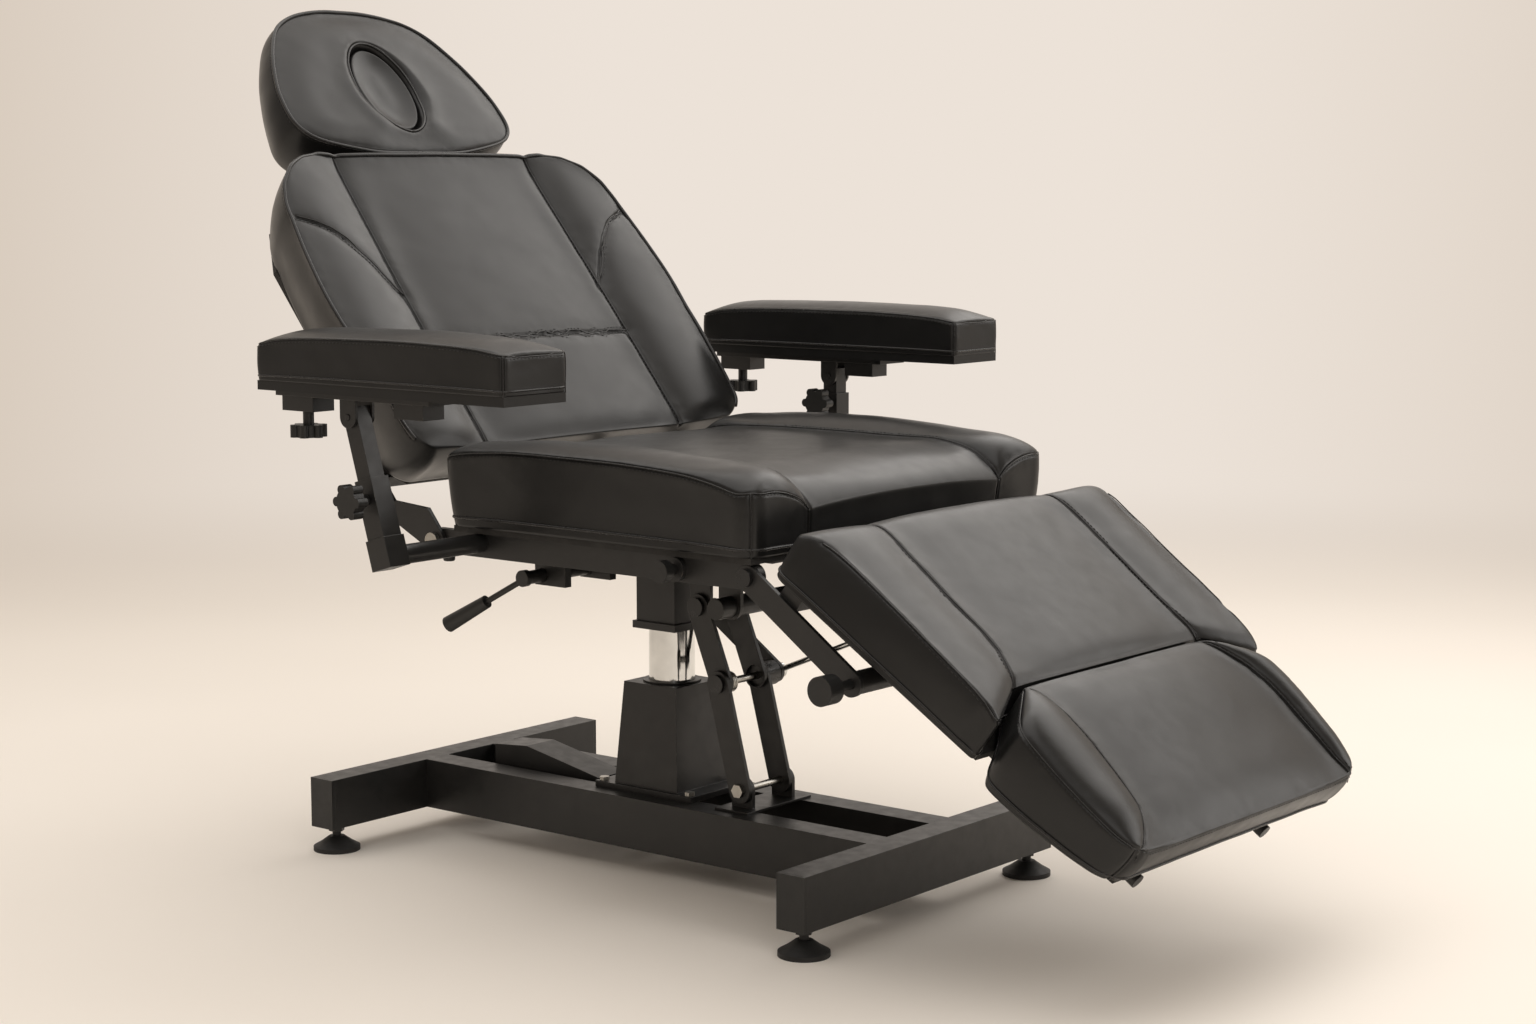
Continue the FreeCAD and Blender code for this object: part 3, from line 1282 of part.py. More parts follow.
def arm(side, sign):
    lean = side + "_arm_lean"
    centre_y = sign + "arm_y"
    top = side + "_sleeve_top"
    pin_up = side + "_pin_up"
    knob_up = side + "_knob_up"
    rear = side + "_pad_rear"
    pin_x = "(arm_ahead - %s * sin(%s))" % (pin_up, lean)
    pin_z = "(arm_tube_height + %s * cos(%s))" % (pin_up, lean)
    knob_x = "(%s + pad_knob_setback)" % rear

    def square_post(width, low, high):
        across = ("-%s / 2" % width, "%s / 2" % width)
        return block(across, across, (low, high))

    def place_leaning(label, thing):
        return finish(label, thing, "arm_ahead", centre_y, "arm_tube_height", "-" + lean)

    sleeve = join([square_post("arm_block_size", "-arm_block_low", "arm_block_high"),
                   square_post("arm_sleeve_size", "arm_block_high", top)])
    if sign:
        low, high = "arm_block_wall - arm_block_size / 2", "arm_block_size / 2 + overrun"
    else:
        low, high = "-arm_block_size / 2 - overrun", "arm_block_size / 2 - arm_block_wall"
    place_leaning(side + "_arm_sleeve", cut(sleeve, [
        square_post("(arm_post_size + 2 * running_gap)", "arm_post_bottom - running_gap", top + " + overrun"),
        rod("arm_tube_radius + running_gap", "y", low, high, 0, 0),
        rod("star_screw_radius + running_gap", "y", "-arm_sleeve_size", "0", 0, knob_up)]))
    pin_half = "(arm_post_size / 2 + arm_ear_thickness + 4 * running_gap)"
    place_leaning(side + "_arm_post", join([
        square_post("arm_post_size", "arm_post_bottom", pin_up + " + arm_post_cap"),
        rod("arm_pin_radius", "y", "-" + pin_half, pin_half, 0, pin_up)]))

    plate_parts = [block((rear + " + arm_plate_setback", "arm_plate_front"),
                         ("-arm_plate_half_width", "arm_plate_half_width"),
                         ("arm_plate_bottom", "arm_plate_bottom + arm_plate_thickness"))]
    for start, end in ((knob_x + " - pad_block_length / 2", knob_x + " + pad_block_length / 2"),
                       ("arm_stop_rear", "arm_stop_front")):
        plate_parts.append(block((start, end), ("-pad_block_width / 2", "pad_block_width / 2"),
                                 ("arm_plate_bottom - pad_block_height", "arm_plate_bottom")))
    for near in ("arm_post_size / 2 + running_gap", "-arm_post_size / 2 - running_gap - arm_ear_thickness"):
        far = near + " + arm_ear_thickness"
        plate_parts += [block((pin_x + " - arm_ear_width / 2", pin_x + " + arm_ear_width / 2"), (near, far),
                              (pin_z, "arm_plate_bottom")),
                        rod("arm_ear_width / 2", "y", near, far, pin_x, pin_z)]
    finish(side + "_arm_plate", cut(join(plate_parts), [
        rod("arm_pin_radius + running_gap", "y", "-arm_post_size", "arm_post_size", pin_x, pin_z),
        rod("star_screw_radius + running_gap", "z", "arm_plate_bottom - pad_block_height - overrun",
            "arm_plate_bottom - pad_block_height + arm_ear_thickness + running_gap", knob_x, 0)]),
        0, centre_y, 0)
    finish(side + "_arm_board", block(
        (rear + " + arm_board_inset", "pad_front - arm_board_inset"),
        ("arm_board_inset - pad_half_width", "pad_half_width - arm_board_inset"),
        ("0", "arm_board_thickness")), 0, centre_y, "arm_plate_bottom + arm_plate_thickness")
    pad = formed(cushion(pad_stations(size(rear)), flat_point, pinch=size("pad_pinch")))
    finish(side + "_arm_cushion", pad, 0, centre_y,
           "arm_plate_bottom + arm_plate_thickness + arm_board_thickness + soft_gap")

    knob = turn(star_knob(), (1, 0, 0), 90)
    finish(side + "_height_knob", knob, "arm_ahead - %s * sin(%s)" % (knob_up, lean),
           centre_y + " - arm_post_size / 2 - running_gap",
           "arm_tube_height + %s * cos(%s)" % (knob_up, lean))
    knob = turn(star_knob(), (1, 0, 0), 180)
    finish(side + "_pad_knob", knob, knob_x, centre_y,
           "arm_plate_bottom - pad_block_height + arm_ear_thickness")


PAD_SHARES = ((0.0, 0.0), (0.3, 0.9), (0.6, 1.0), (0.85, 0.6), (1.0, 0.3))


def pad_stations(rear):
    front = size("pad_front")
    low_edge, high_edge = size("pad_end_edge"), size("pad_edge")
    rows = []
    for along_share, rise_share in PAD_SHARES:
        edge = low_edge + (high_edge - low_edge) * rise_share
        along = rear + (front - rear) * along_share
        rows.append((along, size("pad_half_width"), 0.0, edge, size("pad_crown")))
    return rows


arm("right", "-")
arm("left", "")

# Check every object, then write each sub-part

document.recompute()
for thing in document.Objects:
    if "Invalid" in thing.State or "Error" in thing.State:
        raise RuntimeError("%s failed: %s" % (thing.Label, thing.State))
os.makedirs("parts", exist_ok=True)
faulty = []
for part in sub_parts:
    shape = part.Shape
    if shape.isNull() or not shape.isValid() or not shape.Solids:
        faulty.append(part.Label)
if faulty:
    raise RuntimeError("no valid solid in %s" % ", ".join(faulty))
for part in sub_parts:
    part.Shape.exportStep("parts/%s.step" % part.Label)
print("%d sub-parts written" % len(sub_parts))
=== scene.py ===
import bmesh
import bpy
import math
import numpy as np
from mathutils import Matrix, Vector
from mathutils.bvhtree import BVHTree


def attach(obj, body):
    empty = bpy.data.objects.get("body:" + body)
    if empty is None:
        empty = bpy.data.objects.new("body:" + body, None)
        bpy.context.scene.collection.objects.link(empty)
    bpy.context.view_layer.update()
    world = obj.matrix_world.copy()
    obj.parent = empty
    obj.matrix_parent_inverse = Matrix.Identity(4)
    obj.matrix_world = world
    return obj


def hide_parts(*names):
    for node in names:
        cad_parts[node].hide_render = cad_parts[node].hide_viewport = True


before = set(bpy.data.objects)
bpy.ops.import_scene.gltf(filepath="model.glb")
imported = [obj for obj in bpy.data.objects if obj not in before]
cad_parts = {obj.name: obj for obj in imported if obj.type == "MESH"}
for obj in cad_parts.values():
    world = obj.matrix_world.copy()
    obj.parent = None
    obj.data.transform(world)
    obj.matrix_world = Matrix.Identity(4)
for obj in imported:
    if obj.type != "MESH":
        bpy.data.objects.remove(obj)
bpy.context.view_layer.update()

# Sizes are in millimetres in the local frames below, and the scene is in metres.
MM = 0.001
SEAT_TOP = 490.3
PAD_BASE = 684.3
ARM_Y = 457.5
COLUMN_X = -95.0
PIVOT_Z = 466.0
BACK_PIVOT_X = -244.0
LEG_PIVOT_X = 282.0
BACK_SLOPE = math.radians(51.0)
LEG_SLOPE = math.radians(36.0)


# Local frames

class Place:
    """A frame of along, across and out axes, in which a cushion's sizes are real millimetres."""

    def __init__(self, origin, along, out):
        self.origin = np.array(origin, float)
        self.axes = np.array([along, (0.0, 1.0, 0.0), out], float)
        self.mirrored = np.linalg.det(self.axes) < 0

    def world(self, points):
        return (self.origin + np.asarray(points, float) @ self.axes) * MM

    def local(self, points):
        return (np.asarray(points, float) / MM - self.origin) @ self.axes.T


def level(x, y, z):
    return Place((x, y, z), (1, 0, 0), (0, 0, 1))


SEAT = level(COLUMN_X, 0, SEAT_TOP)
BACK = Place((BACK_PIVOT_X, 0, PIVOT_Z), (-math.cos(BACK_SLOPE), 0, math.sin(BACK_SLOPE)),
             (math.sin(BACK_SLOPE), 0, math.cos(BACK_SLOPE)))
LEG = Place((LEG_PIVOT_X, 0, PIVOT_Z), (math.cos(LEG_SLOPE), 0, -math.sin(LEG_SLOPE)),
            (math.sin(LEG_SLOPE), 0, math.cos(LEG_SLOPE)))


# Curves and fields

def smooth(points):
    """A monotone cubic through (x, y) points, held level outside them."""
    xs, ys = np.array(points, float).T
    steps, rises = np.diff(xs), np.diff(ys)
    slopes = rises / steps
    tangents = np.zeros(len(xs))
    tangents[0], tangents[-1] = slopes[0], slopes[-1]
    for i in range(1, len(xs) - 1):
        if slopes[i - 1] * slopes[i] > 0:
            before, after = 2 * steps[i] + steps[i - 1], steps[i] + 2 * steps[i - 1]
            tangents[i] = (before + after) / (before / slopes[i - 1] + after / slopes[i])

    def value(x):
        x = np.clip(x, xs[0], xs[-1])
        i = np.clip(np.searchsorted(xs, x, side="right") - 1, 0, len(steps) - 1)
        t = (x - xs[i]) / steps[i]
        return ((1 + 2 * t) * (1 - t) ** 2 * ys[i] + t * (1 - t) ** 2 * steps[i] * tangents[i]
                + t * t * (3 - 2 * t) * ys[i + 1] + t * t * (t - 1) * steps[i] * tangents[i + 1])

    return value


WAVES = 12
WAVE_RANGE = (0.55, 1.5)
PHASES = (0, 6.3)
WARP_DEPTH = 1.6
WARP_LENGTH = 0.35
PEAK = 1.6
TINY = 1e-12


def unit(vectors):
    """Each row of vectors at length 1."""
    return vectors / (np.linalg.norm(vectors, axis=-1, keepdims=True) + TINY)


def wrinkle(points, size, seed):
    """Smooth bumps between -1 and 1 of about a given size in millimetres, the same on each run."""
    draws = np.random.default_rng(seed)
    total = np.zeros(len(points))
    for _ in range(WAVES):
        heading = draws.normal(size=3)
        heading /= np.linalg.norm(heading)
        wave = 2 * math.pi / size * draws.uniform(*WAVE_RANGE)
        warp = np.sin(points @ draws.normal(size=3) * wave * WARP_LENGTH + draws.uniform(*PHASES))
        total += np.sin(points @ heading * wave + warp * WARP_DEPTH + draws.uniform(*PHASES))
    return np.clip(total / math.sqrt(WAVES / 2) / PEAK, -1, 1)


def line_distance(points, line):
    """Distance from each point to a polyline."""
    best = np.full(len(points), 1e9)
    for start, end in zip(line[:-1], line[1:]):
        leg = end - start
        length2 = leg @ leg
        if length2 < 1e-9:
            continue
        t = np.clip((points - start) @ leg / length2, 0, 1)
        best = np.minimum(best, ((points - start - t[:, None] * leg) ** 2).sum(axis=1))
    return np.sqrt(best)


def resample(line, step):
    line = np.asarray(line, float)
    runs = np.concatenate([[0], np.cumsum(np.linalg.norm(np.diff(line, axis=0), axis=1))])
    count = max(2, int(round(runs[-1] / step)) + 1)
    at = np.linspace(0, runs[-1], count)
    return np.stack([np.interp(at, runs, line[:, k]) for k in range(line.shape[1])], axis=1)


def softened(line):
    """A polyline with its inner corners eased."""
    line = np.asarray(line, float)
    for _ in range(2):
        line[1:-1] = (line[:-2] + 2 * line[1:-1] + line[2:]) / 4
    return line


def steady(value):
    """A curve that stays at one value."""
    return lambda at: np.full_like(at, value)


def puff(share):
    """A panel's swell beside a seam: 0 at the seam, 1 from one radius away."""
    t = np.clip(share, 0, 1)
    return (1 - (1 - t) ** 2) ** 0.7


def across_panel(reach, inner, outer):
    """The share of the way from a panel's inner seam to its outer edge."""
    return np.clip((reach - inner) / (outer - inner), 0, 1)


def arch(share, power):
    """A bolster's rise: 0 at both seams, 1 halfway between them."""
    return (4 * share * (1 - share)) ** power


def crown(share, power):
    """A centre panel's rise: 1 on its middle line, 0 at its seams."""
    return np.maximum(1 - share ** 2, 0) ** power


# Meshes

def mesh_object(name, vertices, faces, material):
    mesh = bpy.data.meshes.new(name)
    mesh.from_pydata([tuple(v) for v in vertices], [], [tuple(int(k) for k in f) for f in faces])
    mesh.validate()
    mesh.shade_smooth()
    mesh.materials.append(material)
    piece = bpy.data.objects.new(name, mesh)
    bpy.context.scene.collection.objects.link(piece)
    return piece


def coordinates(mesh):
    flat = np.empty(len(mesh.vertices) * 3)
    mesh.vertices.foreach_get("co", flat)
    return flat.reshape(-1, 3)


def set_coordinates(mesh, points):
    mesh.vertices.foreach_set("co", np.asarray(points, float).ravel())
    mesh.update()


def vertex_normals(mesh):
    flat = np.empty(len(mesh.vertices) * 3)
    mesh.vertices.foreach_get("normal", flat)
    return flat.reshape(-1, 3)


def applied(piece):
    """Applies the piece's modifiers to its mesh."""
    depsgraph = bpy.context.evaluated_depsgraph_get()
    mesh = bpy.data.meshes.new_from_object(piece.evaluated_get(depsgraph))
    piece.modifiers.clear()
    old = piece.data
    piece.data = mesh
    bpy.data.meshes.remove(old)


def spread(count, lean):
    """Shares from 0 to 1, drawn towards both ends by lean."""
    t = np.linspace(0, 1, count + 1)
    return t - lean * np.sin(2 * math.pi * t) / (2 * math.pi)


def ring_faces(upper, lower):
    """Quads between two closed rings of vertex numbers."""
    count = len(upper)
    return [(upper[i], lower[i], lower[(i + 1) % count], upper[(i + 1) % count]) for i in range(count)]


class Form:
    """A cushion before its cover is stretched: its rings run from the rim down to the foot."""

    def __init__(self, vertices, faces, rings, pinned, shut=False):
        self.vertices, self.faces = np.asarray(vertices, float), faces
        self.rings, self.pinned, self.shut = rings, pinned, shut
        self.rim, self.foot = rings[0], rings[-1]


STEP = 11.0
SIDE_ROWS = 8
TURN_POINTS = 5
FEWEST_ROWS = 4
FEWEST_COLUMNS = 8
FEWEST_SIDE_COLUMNS = 5
SIDE_LEAN = 0.4
CENTRE_LEAN = 0.25
WHOLE_LEAN = 0.35


def bottom_strips(ring, rows, cols):
    """Faces across the underside, one between each pair of rows, so that it may step."""
    def left(i):
        return ring[i]

    def right(i):
        return ring[rows - 1 + cols - 1 + rows - 1 - i]

    last = rows - 1
    first_row = [ring[(2 * last + 2 * (cols - 1) - j) % len(ring)] for j in range(cols)]
    end_row = [ring[last + cols - 1 - j] for j in range(cols)]
    faces = [tuple(first_row + [right(1), left(1)])]
    faces += [(left(i), right(i), right(i + 1), left(i + 1)) for i in range(1, last - 1)]
    faces.append(tuple([left(last - 1), right(last - 1)] + end_row))
    return faces


def columns_over(width, fewest, lean):
    """Shares across a band of a given width, about a step apart."""
    return spread(max(fewest, int(round(width / STEP))), lean)


def grid_form(ends, near, far, height, low_ends, low_near, low_far, low, corners=(28, 28), inner=None,
              bulge=6.0, bulge_power=0.8, warp=None, strips=False):
    """A pad with a gridded top. near and far give its edges on the -Y and +Y side along the pad."""
    start, end = ends
    first_turn = start + corners[0] * (1 - np.cos(np.linspace(0, math.pi / 2, TURN_POINTS)))
    last_turn = end - corners[1] * (1 - np.cos(np.linspace(0, math.pi / 2, TURN_POINTS)))
    count = max(FEWEST_ROWS, int((last_turn[-1] - first_turn[-1]) / STEP))
    middle = np.linspace(first_turn[-1], last_turn[-1], count + 1)[1:-1]
    along = np.concatenate([first_turn, middle, last_turn[::-1]])

    def eased(edge, at, limits):
        cut_first = np.clip(corners[0] - (at - limits[0]), 0, corners[0])
        cut_last = np.clip(corners[1] - (limits[1] - at), 0, corners[1])
        return (edge(at) - corners[0] + np.sqrt(np.maximum(corners[0] ** 2 - cut_first ** 2, 0))
                - corners[1] + np.sqrt(np.maximum(corners[1] ** 2 - cut_last ** 2, 0)))

    left, right = -eased(near, along, ends), eased(far, along, ends)
    share = (along - start) / (end - start)
    low_along = low_ends[0] + (low_ends[1] - low_ends[0]) * share
    low_left, low_right = -eased(low_near, low_along, low_ends), eased(low_far, low_along, low_ends)
    if inner:
        seam_left = np.maximum(-inner[0](along), left + STEP / 2)
        seam_right = np.minimum(inner[1](along), right - STEP / 2)
        side = columns_over(np.mean(seam_left - left), FEWEST_SIDE_COLUMNS, SIDE_LEAN)
        centre = columns_over(np.mean(seam_right - seam_left), FEWEST_COLUMNS, CENTRE_LEAN)
        bands = [(left, seam_left, side), (seam_left, seam_right, centre), (seam_right, right, side)]
    else:
        bands = [(left, right, columns_over(np.max(right - left), FEWEST_COLUMNS, WHOLE_LEAN))]
    columns, seam_columns = [], []
    for begin, finish, shares in bands:
        if columns:
            seam_columns.append(len(columns) - 1)
        for t in shares[1 if columns else 0:]:
            columns.append(begin + (finish - begin) * t)
    across = np.stack(columns, axis=1)
    rows, cols = across.shape
    number = np.arange(rows * cols).reshape(rows, cols)
    flat_along = np.repeat(along, cols)
    flat_across = across.ravel()
    top = np.column_stack([flat_along, flat_across, height(flat_along, flat_across)])
    faces = [(number[i, j], number[i + 1, j], number[i + 1, j + 1], number[i, j + 1])
             for i in range(rows - 1) for j in range(cols - 1)]
    rim = np.concatenate([number[:-1, 0], number[-1, :-1], number[:0:-1, -1], number[0, :0:-1]])
    row_of = rim // cols
    across_share = (top[rim, 1] - left[row_of]) / (right[row_of] - left[row_of])
    foot = np.column_stack([low_along[row_of],
                            low_left[row_of] + (low_right[row_of] - low_left[row_of]) * across_share,
                            low(low_along[row_of])])
    edge = top[rim]
    ahead = np.roll(edge[:, :2], -1, axis=0) - np.roll(edge[:, :2], 1, axis=0)
    ahead /= np.linalg.norm(ahead, axis=1)[:, None]
    outward = np.column_stack([ahead[:, 1], -ahead[:, 0], np.zeros(len(ahead))])
    swell = bulge(edge) if callable(bulge) else np.full(len(edge), bulge)
    vertices, rings = [top], [[int(k) for k in rim]]
    for k in range(1, SIDE_ROWS + 1):
        v = k / SIDE_ROWS
        wall = edge + (foot - edge) * v + outward * swell[:, None] * math.sin(math.pi * v) ** bulge_power
        vertices.append(wall)
        below = [rows * cols + (k - 1) * len(rim) + i for i in range(len(rim))]
        faces += ring_faces(rings[-1], below)
        rings.append(below)
    if strips:
        faces += bottom_strips(rings[-1], rows, cols)
    pinned = set(rings[0]) | set(rings[-1])
    for column in seam_columns:
        pinned |= set(number[:, column])
    vertices = np.vstack(vertices)
    if warp:
        vertices[:, 0] = warp(vertices[:, 0], vertices[:, 1])
    return Form(vertices, faces, rings, pinned, shut=strips)


def ring_form(rings, rim_ring, pinned_rings, shut):
    """A pad from closed rings of points, one inside the next."""
    count = len(rings[0])
    vertices = np.vstack(rings)
    numbers = [list(range(k * count, (k + 1) * count)) for k in range(len(rings))]
    faces = []
    for upper, lower in zip(numbers[:-1], numbers[1:]):
        faces += ring_faces(upper, lower)
    if shut:
        faces += ring_faces(numbers[-1], numbers[0])
    pinned = set()
    for k in pinned_rings:
        pinned |= set(numbers[k])
    return Form(vertices, faces, numbers[rim_ring:], pinned, shut)


# Covers

CLOTH_FRAMES = 14
CLOTH_SETTINGS = {"quality": 5, "mass": 0.4, "tension_stiffness": 20, "compression_stiffness": 12,
                  "shear_stiffness": 8, "bending_stiffness": 6.0, "use_pressure": True,
                  "uniform_pressure_force": 3.5, "shrink_min": 0.0, "vertex_group_mass": "seams",
                  "pin_stiffness": 1.0}
EVEN_PASSES = 10
EVEN_SHARE = 0.6
LEVELS = 2


def evened(mesh, shift, pinned):
    """Spreads each point's movement over its neighbours, so that the leather lies taut."""
    ends = np.array([edge.vertices[:] for edge in mesh.edges])
    share = np.zeros(len(shift))
    np.add.at(share, ends[:, 0], 1.0)
    np.add.at(share, ends[:, 1], 1.0)
    fixed = sorted(int(k) for k in pinned)
    for _ in range(EVEN_PASSES):
        near = np.zeros_like(shift)
        np.add.at(near, ends[:, 0], shift[ends[:, 1]])
        np.add.at(near, ends[:, 1], shift[ends[:, 0]])
        shift = (1 - EVEN_SHARE) * shift + EVEN_SHARE * near / share[:, None]
        shift[fixed] = 0.0
    return shift


def stretched(piece, pinned, cap):
    """Inflates the cover a little between its seams, and holds each point near its place."""
    group = piece.vertex_groups.new(name="seams")
    group.add([int(k) for k in pinned], 1.0, "REPLACE")
    rest = coordinates(piece.data)
    cloth = piece.modifiers.new("cloth", "CLOTH")
    for key, value in CLOTH_SETTINGS.items():
        setattr(cloth.settings, key, value)
    cloth.settings.effector_weights.gravity = 0
    cloth.collision_settings.use_collision = False
    cloth.point_cache.frame_end = CLOTH_FRAMES
    scene = bpy.context.scene
    for number in range(1, CLOTH_FRAMES + 1):
        scene.frame_set(number)
    evaluated = piece.evaluated_get(bpy.context.evaluated_depsgraph_get())
    moved = coordinates(evaluated.to_mesh())
    evaluated.to_mesh_clear()
    piece.modifiers.remove(cloth)
    piece.vertex_groups.clear()
    scene.frame_set(1)
    shift = evened(piece.data, moved - rest, pinned)
    length = np.linalg.norm(shift, axis=1)[:, None]
    limit = cap * MM
    set_coordinates(piece.data, rest + unit(shift) * limit * np.tanh(length / limit))


def creased(mesh, weights):
    """Keeps edges sharp through the division: weights maps a pair of vertex numbers to 0 to 1."""
    layer = mesh.attributes.new("crease_edge", "FLOAT", "EDGE")
    for edge in mesh.edges:
        a, b = edge.vertices
        layer.data[edge.index].value = weights.get((min(a, b), max(a, b)), 0.0)


def divided(piece):
    modifier = piece.modifiers.new("divide", "SUBSURF")
    modifier.levels = modifier.render_levels = LEVELS
    modifier.boundary_smooth = "ALL"
    applied(piece)


def close_foot(piece):
    """Closes an open flat underside with one face, and turns all faces outwards."""
    work = bmesh.new()
    work.from_mesh(piece.data)
    open_edges = [edge for edge in work.edges if edge.is_boundary]
    if open_edges:
        bmesh.ops.holes_fill(work, edges=open_edges, sides=0)
    bmesh.ops.recalc_face_normals(work, faces=work.faces)
    work.to_mesh(piece.data)
    work.free()
    piece.data.shade_smooth()


# Seams

RIM_CREASE = 0.85
TOP_STEP = 8.0
HIGH_ABOVE = 400.0
USUAL_TOP = 80.0


class Seam:
    """A sewn line: round the rim, down a wall, round the foot, or through points on the top.

    Its groove has a depth, and may lie in a wider channel. Beside it run a welt of a given radius and
    a row of stitches, on both sides if asked. keep picks the stretch of the rim that it follows.
    """

    def __init__(self, kind="top", points=None, depth=2.6, channel=0.0, reach=20.0, welt=0.85, stitch=3.6,
                 both=False, keep=None):
        self.kind, self.points, self.depth, self.channel, self.reach = kind, points, depth, channel, reach
        self.welt, self.stitch, self.both, self.keep = welt, stitch, both, keep


class Line:
    """One run of a seam, as vertex numbers where it follows the mesh, and as points."""

    def __init__(self, seam, points, numbers=None, closed=False):
        self.seam, self.points, self.numbers, self.closed = seam, points, numbers, closed


def rim_runs(form, keep):
    """The parts of the rim that a seam follows, as lists of vertex numbers, and whether it closes."""
    ring = list(form.rim)
    kept = [True] * len(ring)
    if keep:
        kept = list(keep(form.vertices[ring, 0], form.vertices[ring, 1]))
    if all(kept):
        return [ring], True
    first = kept.index(False)
    ring, kept = ring[first:] + ring[:first], kept[first:] + kept[:first]
    runs, run = [], []
    for number, wanted in zip(ring + ring[:1], kept + [False]):
        if wanted:
            run.append(number)
        elif run:
            runs.append(run)
            run = []
    return [run for run in runs if len(run) > 2], False


def wall_numbers(form, point):
    """The column of vertices that runs down the wall from the rim vertex nearest a point."""
    rim = form.vertices[form.rim][:, :2]
    nearest = int(np.argmin(((rim - np.array(point)) ** 2).sum(axis=1)))
    return [ring[nearest] for ring in form.rings]


def laid(line, tree):
    """The (along, across) points of a line dropped on the surface."""
    out = []
    for along, across in line:
        hit = tree.ray_cast(Vector((along, across, HIGH_ABOVE)), Vector((0, 0, -1)))
        if hit[0] is None:
            hit = tree.find_nearest(Vector((along, across, USUAL_TOP)))
        out.append(tuple(hit[0]))
    return np.array(out)


def followed(seam, form, plan, tree):
    """The lines of a seam on the divided form."""
    if seam.kind == "top":
        return [Line(seam, laid(resample(seam.points, TOP_STEP), tree))]
    if seam.kind == "wall":
        numbers = wall_numbers(form, seam.points)
        return [Line(seam, plan[numbers], numbers)]
    if seam.kind == "base":
        numbers = list(form.rings[-2])
        return [Line(seam, plan[numbers + numbers[:1]], numbers, closed=True)]
    runs, closed = rim_runs(form, seam.keep)
    return [Line(seam, plan[run + run[:1] if closed else run], run, closed) for run in runs]


def crease_weights(form, seams):
    """How sharp the rim and a shut foot stay, by pairs of vertex numbers."""
    weights = {}

    def add(numbers, closed, weight):
        ring = numbers + numbers[:1] if closed else numbers
        for a, b in zip(ring[:-1], ring[1:]):
            weights[(min(a, b), max(a, b))] = weight

    if form.shut:
        add(list(form.foot), True, 1.0)
    for seam in seams:
        if seam.kind == "rim":
            runs, closed = rim_runs(form, seam.keep)
            for run in runs:
                add(run, closed, RIM_CREASE)
    return weights


# Welts and stitches

WELT_STEP = 4.0
WELT_LIFT = 0.35
WELT_OUT_OF_GROOVE = 0.7
WELT_SIDES = 8
STITCH_LENGTH = 4.2
STITCH_PITCH = 6.2
STITCH_WIDTH = 0.6
STITCH_LIFT = 0.2
STITCH_SIDES = 6
STITCH_ARCH = ((-0.5, 0.25), (-0.3, 0.85), (0.0, 1.0), (0.3, 0.85), (0.5, 0.25))
ANY_WAY = (0.13, 0.21, 0.97)


def tube_faces(count, sides, closed):
    """Faces round a tube of count rings, with its ends shut unless it is closed on itself."""
    faces = []
    for i in range(count if closed else count - 1):
        j = (i + 1) % count
        for k in range(sides):
            m = (k + 1) % sides
            faces.append((i * sides + k, i * sides + m, j * sides + m, j * sides + k))
    if not closed:
        faces.append(tuple(reversed(range(sides))))
        faces.append(tuple(range((count - 1) * sides, count * sides)))
    return faces


def unit_stitch():
    """A short thread arch of length and width 1 along the first axis."""
    turns = np.arange(STITCH_SIDES) * 2 * math.pi / STITCH_SIDES
    points = [(along, radius * math.cos(turn), radius * math.sin(turn))
              for along, radius in STITCH_ARCH for turn in turns]
    return np.array(points), tube_faces(len(STITCH_ARCH), STITCH_SIDES, False)


def surface_of(piece, place):
    """A search tree of the cushion's surface in its local frame."""
    mesh = piece.data
    points = place.local(coordinates(mesh))
    polygons = [tuple(face.vertices) for face in mesh.polygons if len(face.vertices) <= 4]
    return BVHTree.FromPolygons([tuple(p) for p in points], polygons)


def tube(path, radius, closed):
    """A round cord along a path, as vertices and faces."""
    ahead = np.roll(path, -1, axis=0) - np.roll(path, 1, axis=0)
    if not closed:
        ahead[0], ahead[-1] = path[1] - path[0], path[-1] - path[-2]
    ahead = unit(ahead)
    aside = unit(np.cross(ahead, ANY_WAY))
    over = np.cross(ahead, aside)
    turns = [2 * math.pi * k / WELT_SIDES for k in range(WELT_SIDES)]
    rings = [path + radius * (math.cos(turn) * aside + math.sin(turn) * over) for turn in turns]
    return np.stack(rings, axis=1).reshape(-1, 3), tube_faces(len(path), WELT_SIDES, closed)


def welt_path(run, seam, closed):
    """The line of a welt's middle, lifted out of its groove and eased."""
    lift = seam.depth * WELT_OUT_OF_GROOVE + seam.welt * WELT_LIFT
    path = run[:, :3] + run[:, 3:] * lift
    if closed:
        path = path[:-1]
    for _ in range(2):
        eased = (np.roll(path, 1, axis=0) + 2 * path + np.roll(path, -1, axis=0)) / 4
        if not closed:
            eased[0], eased[-1] = path[0], path[-1]
        path = eased
    return path


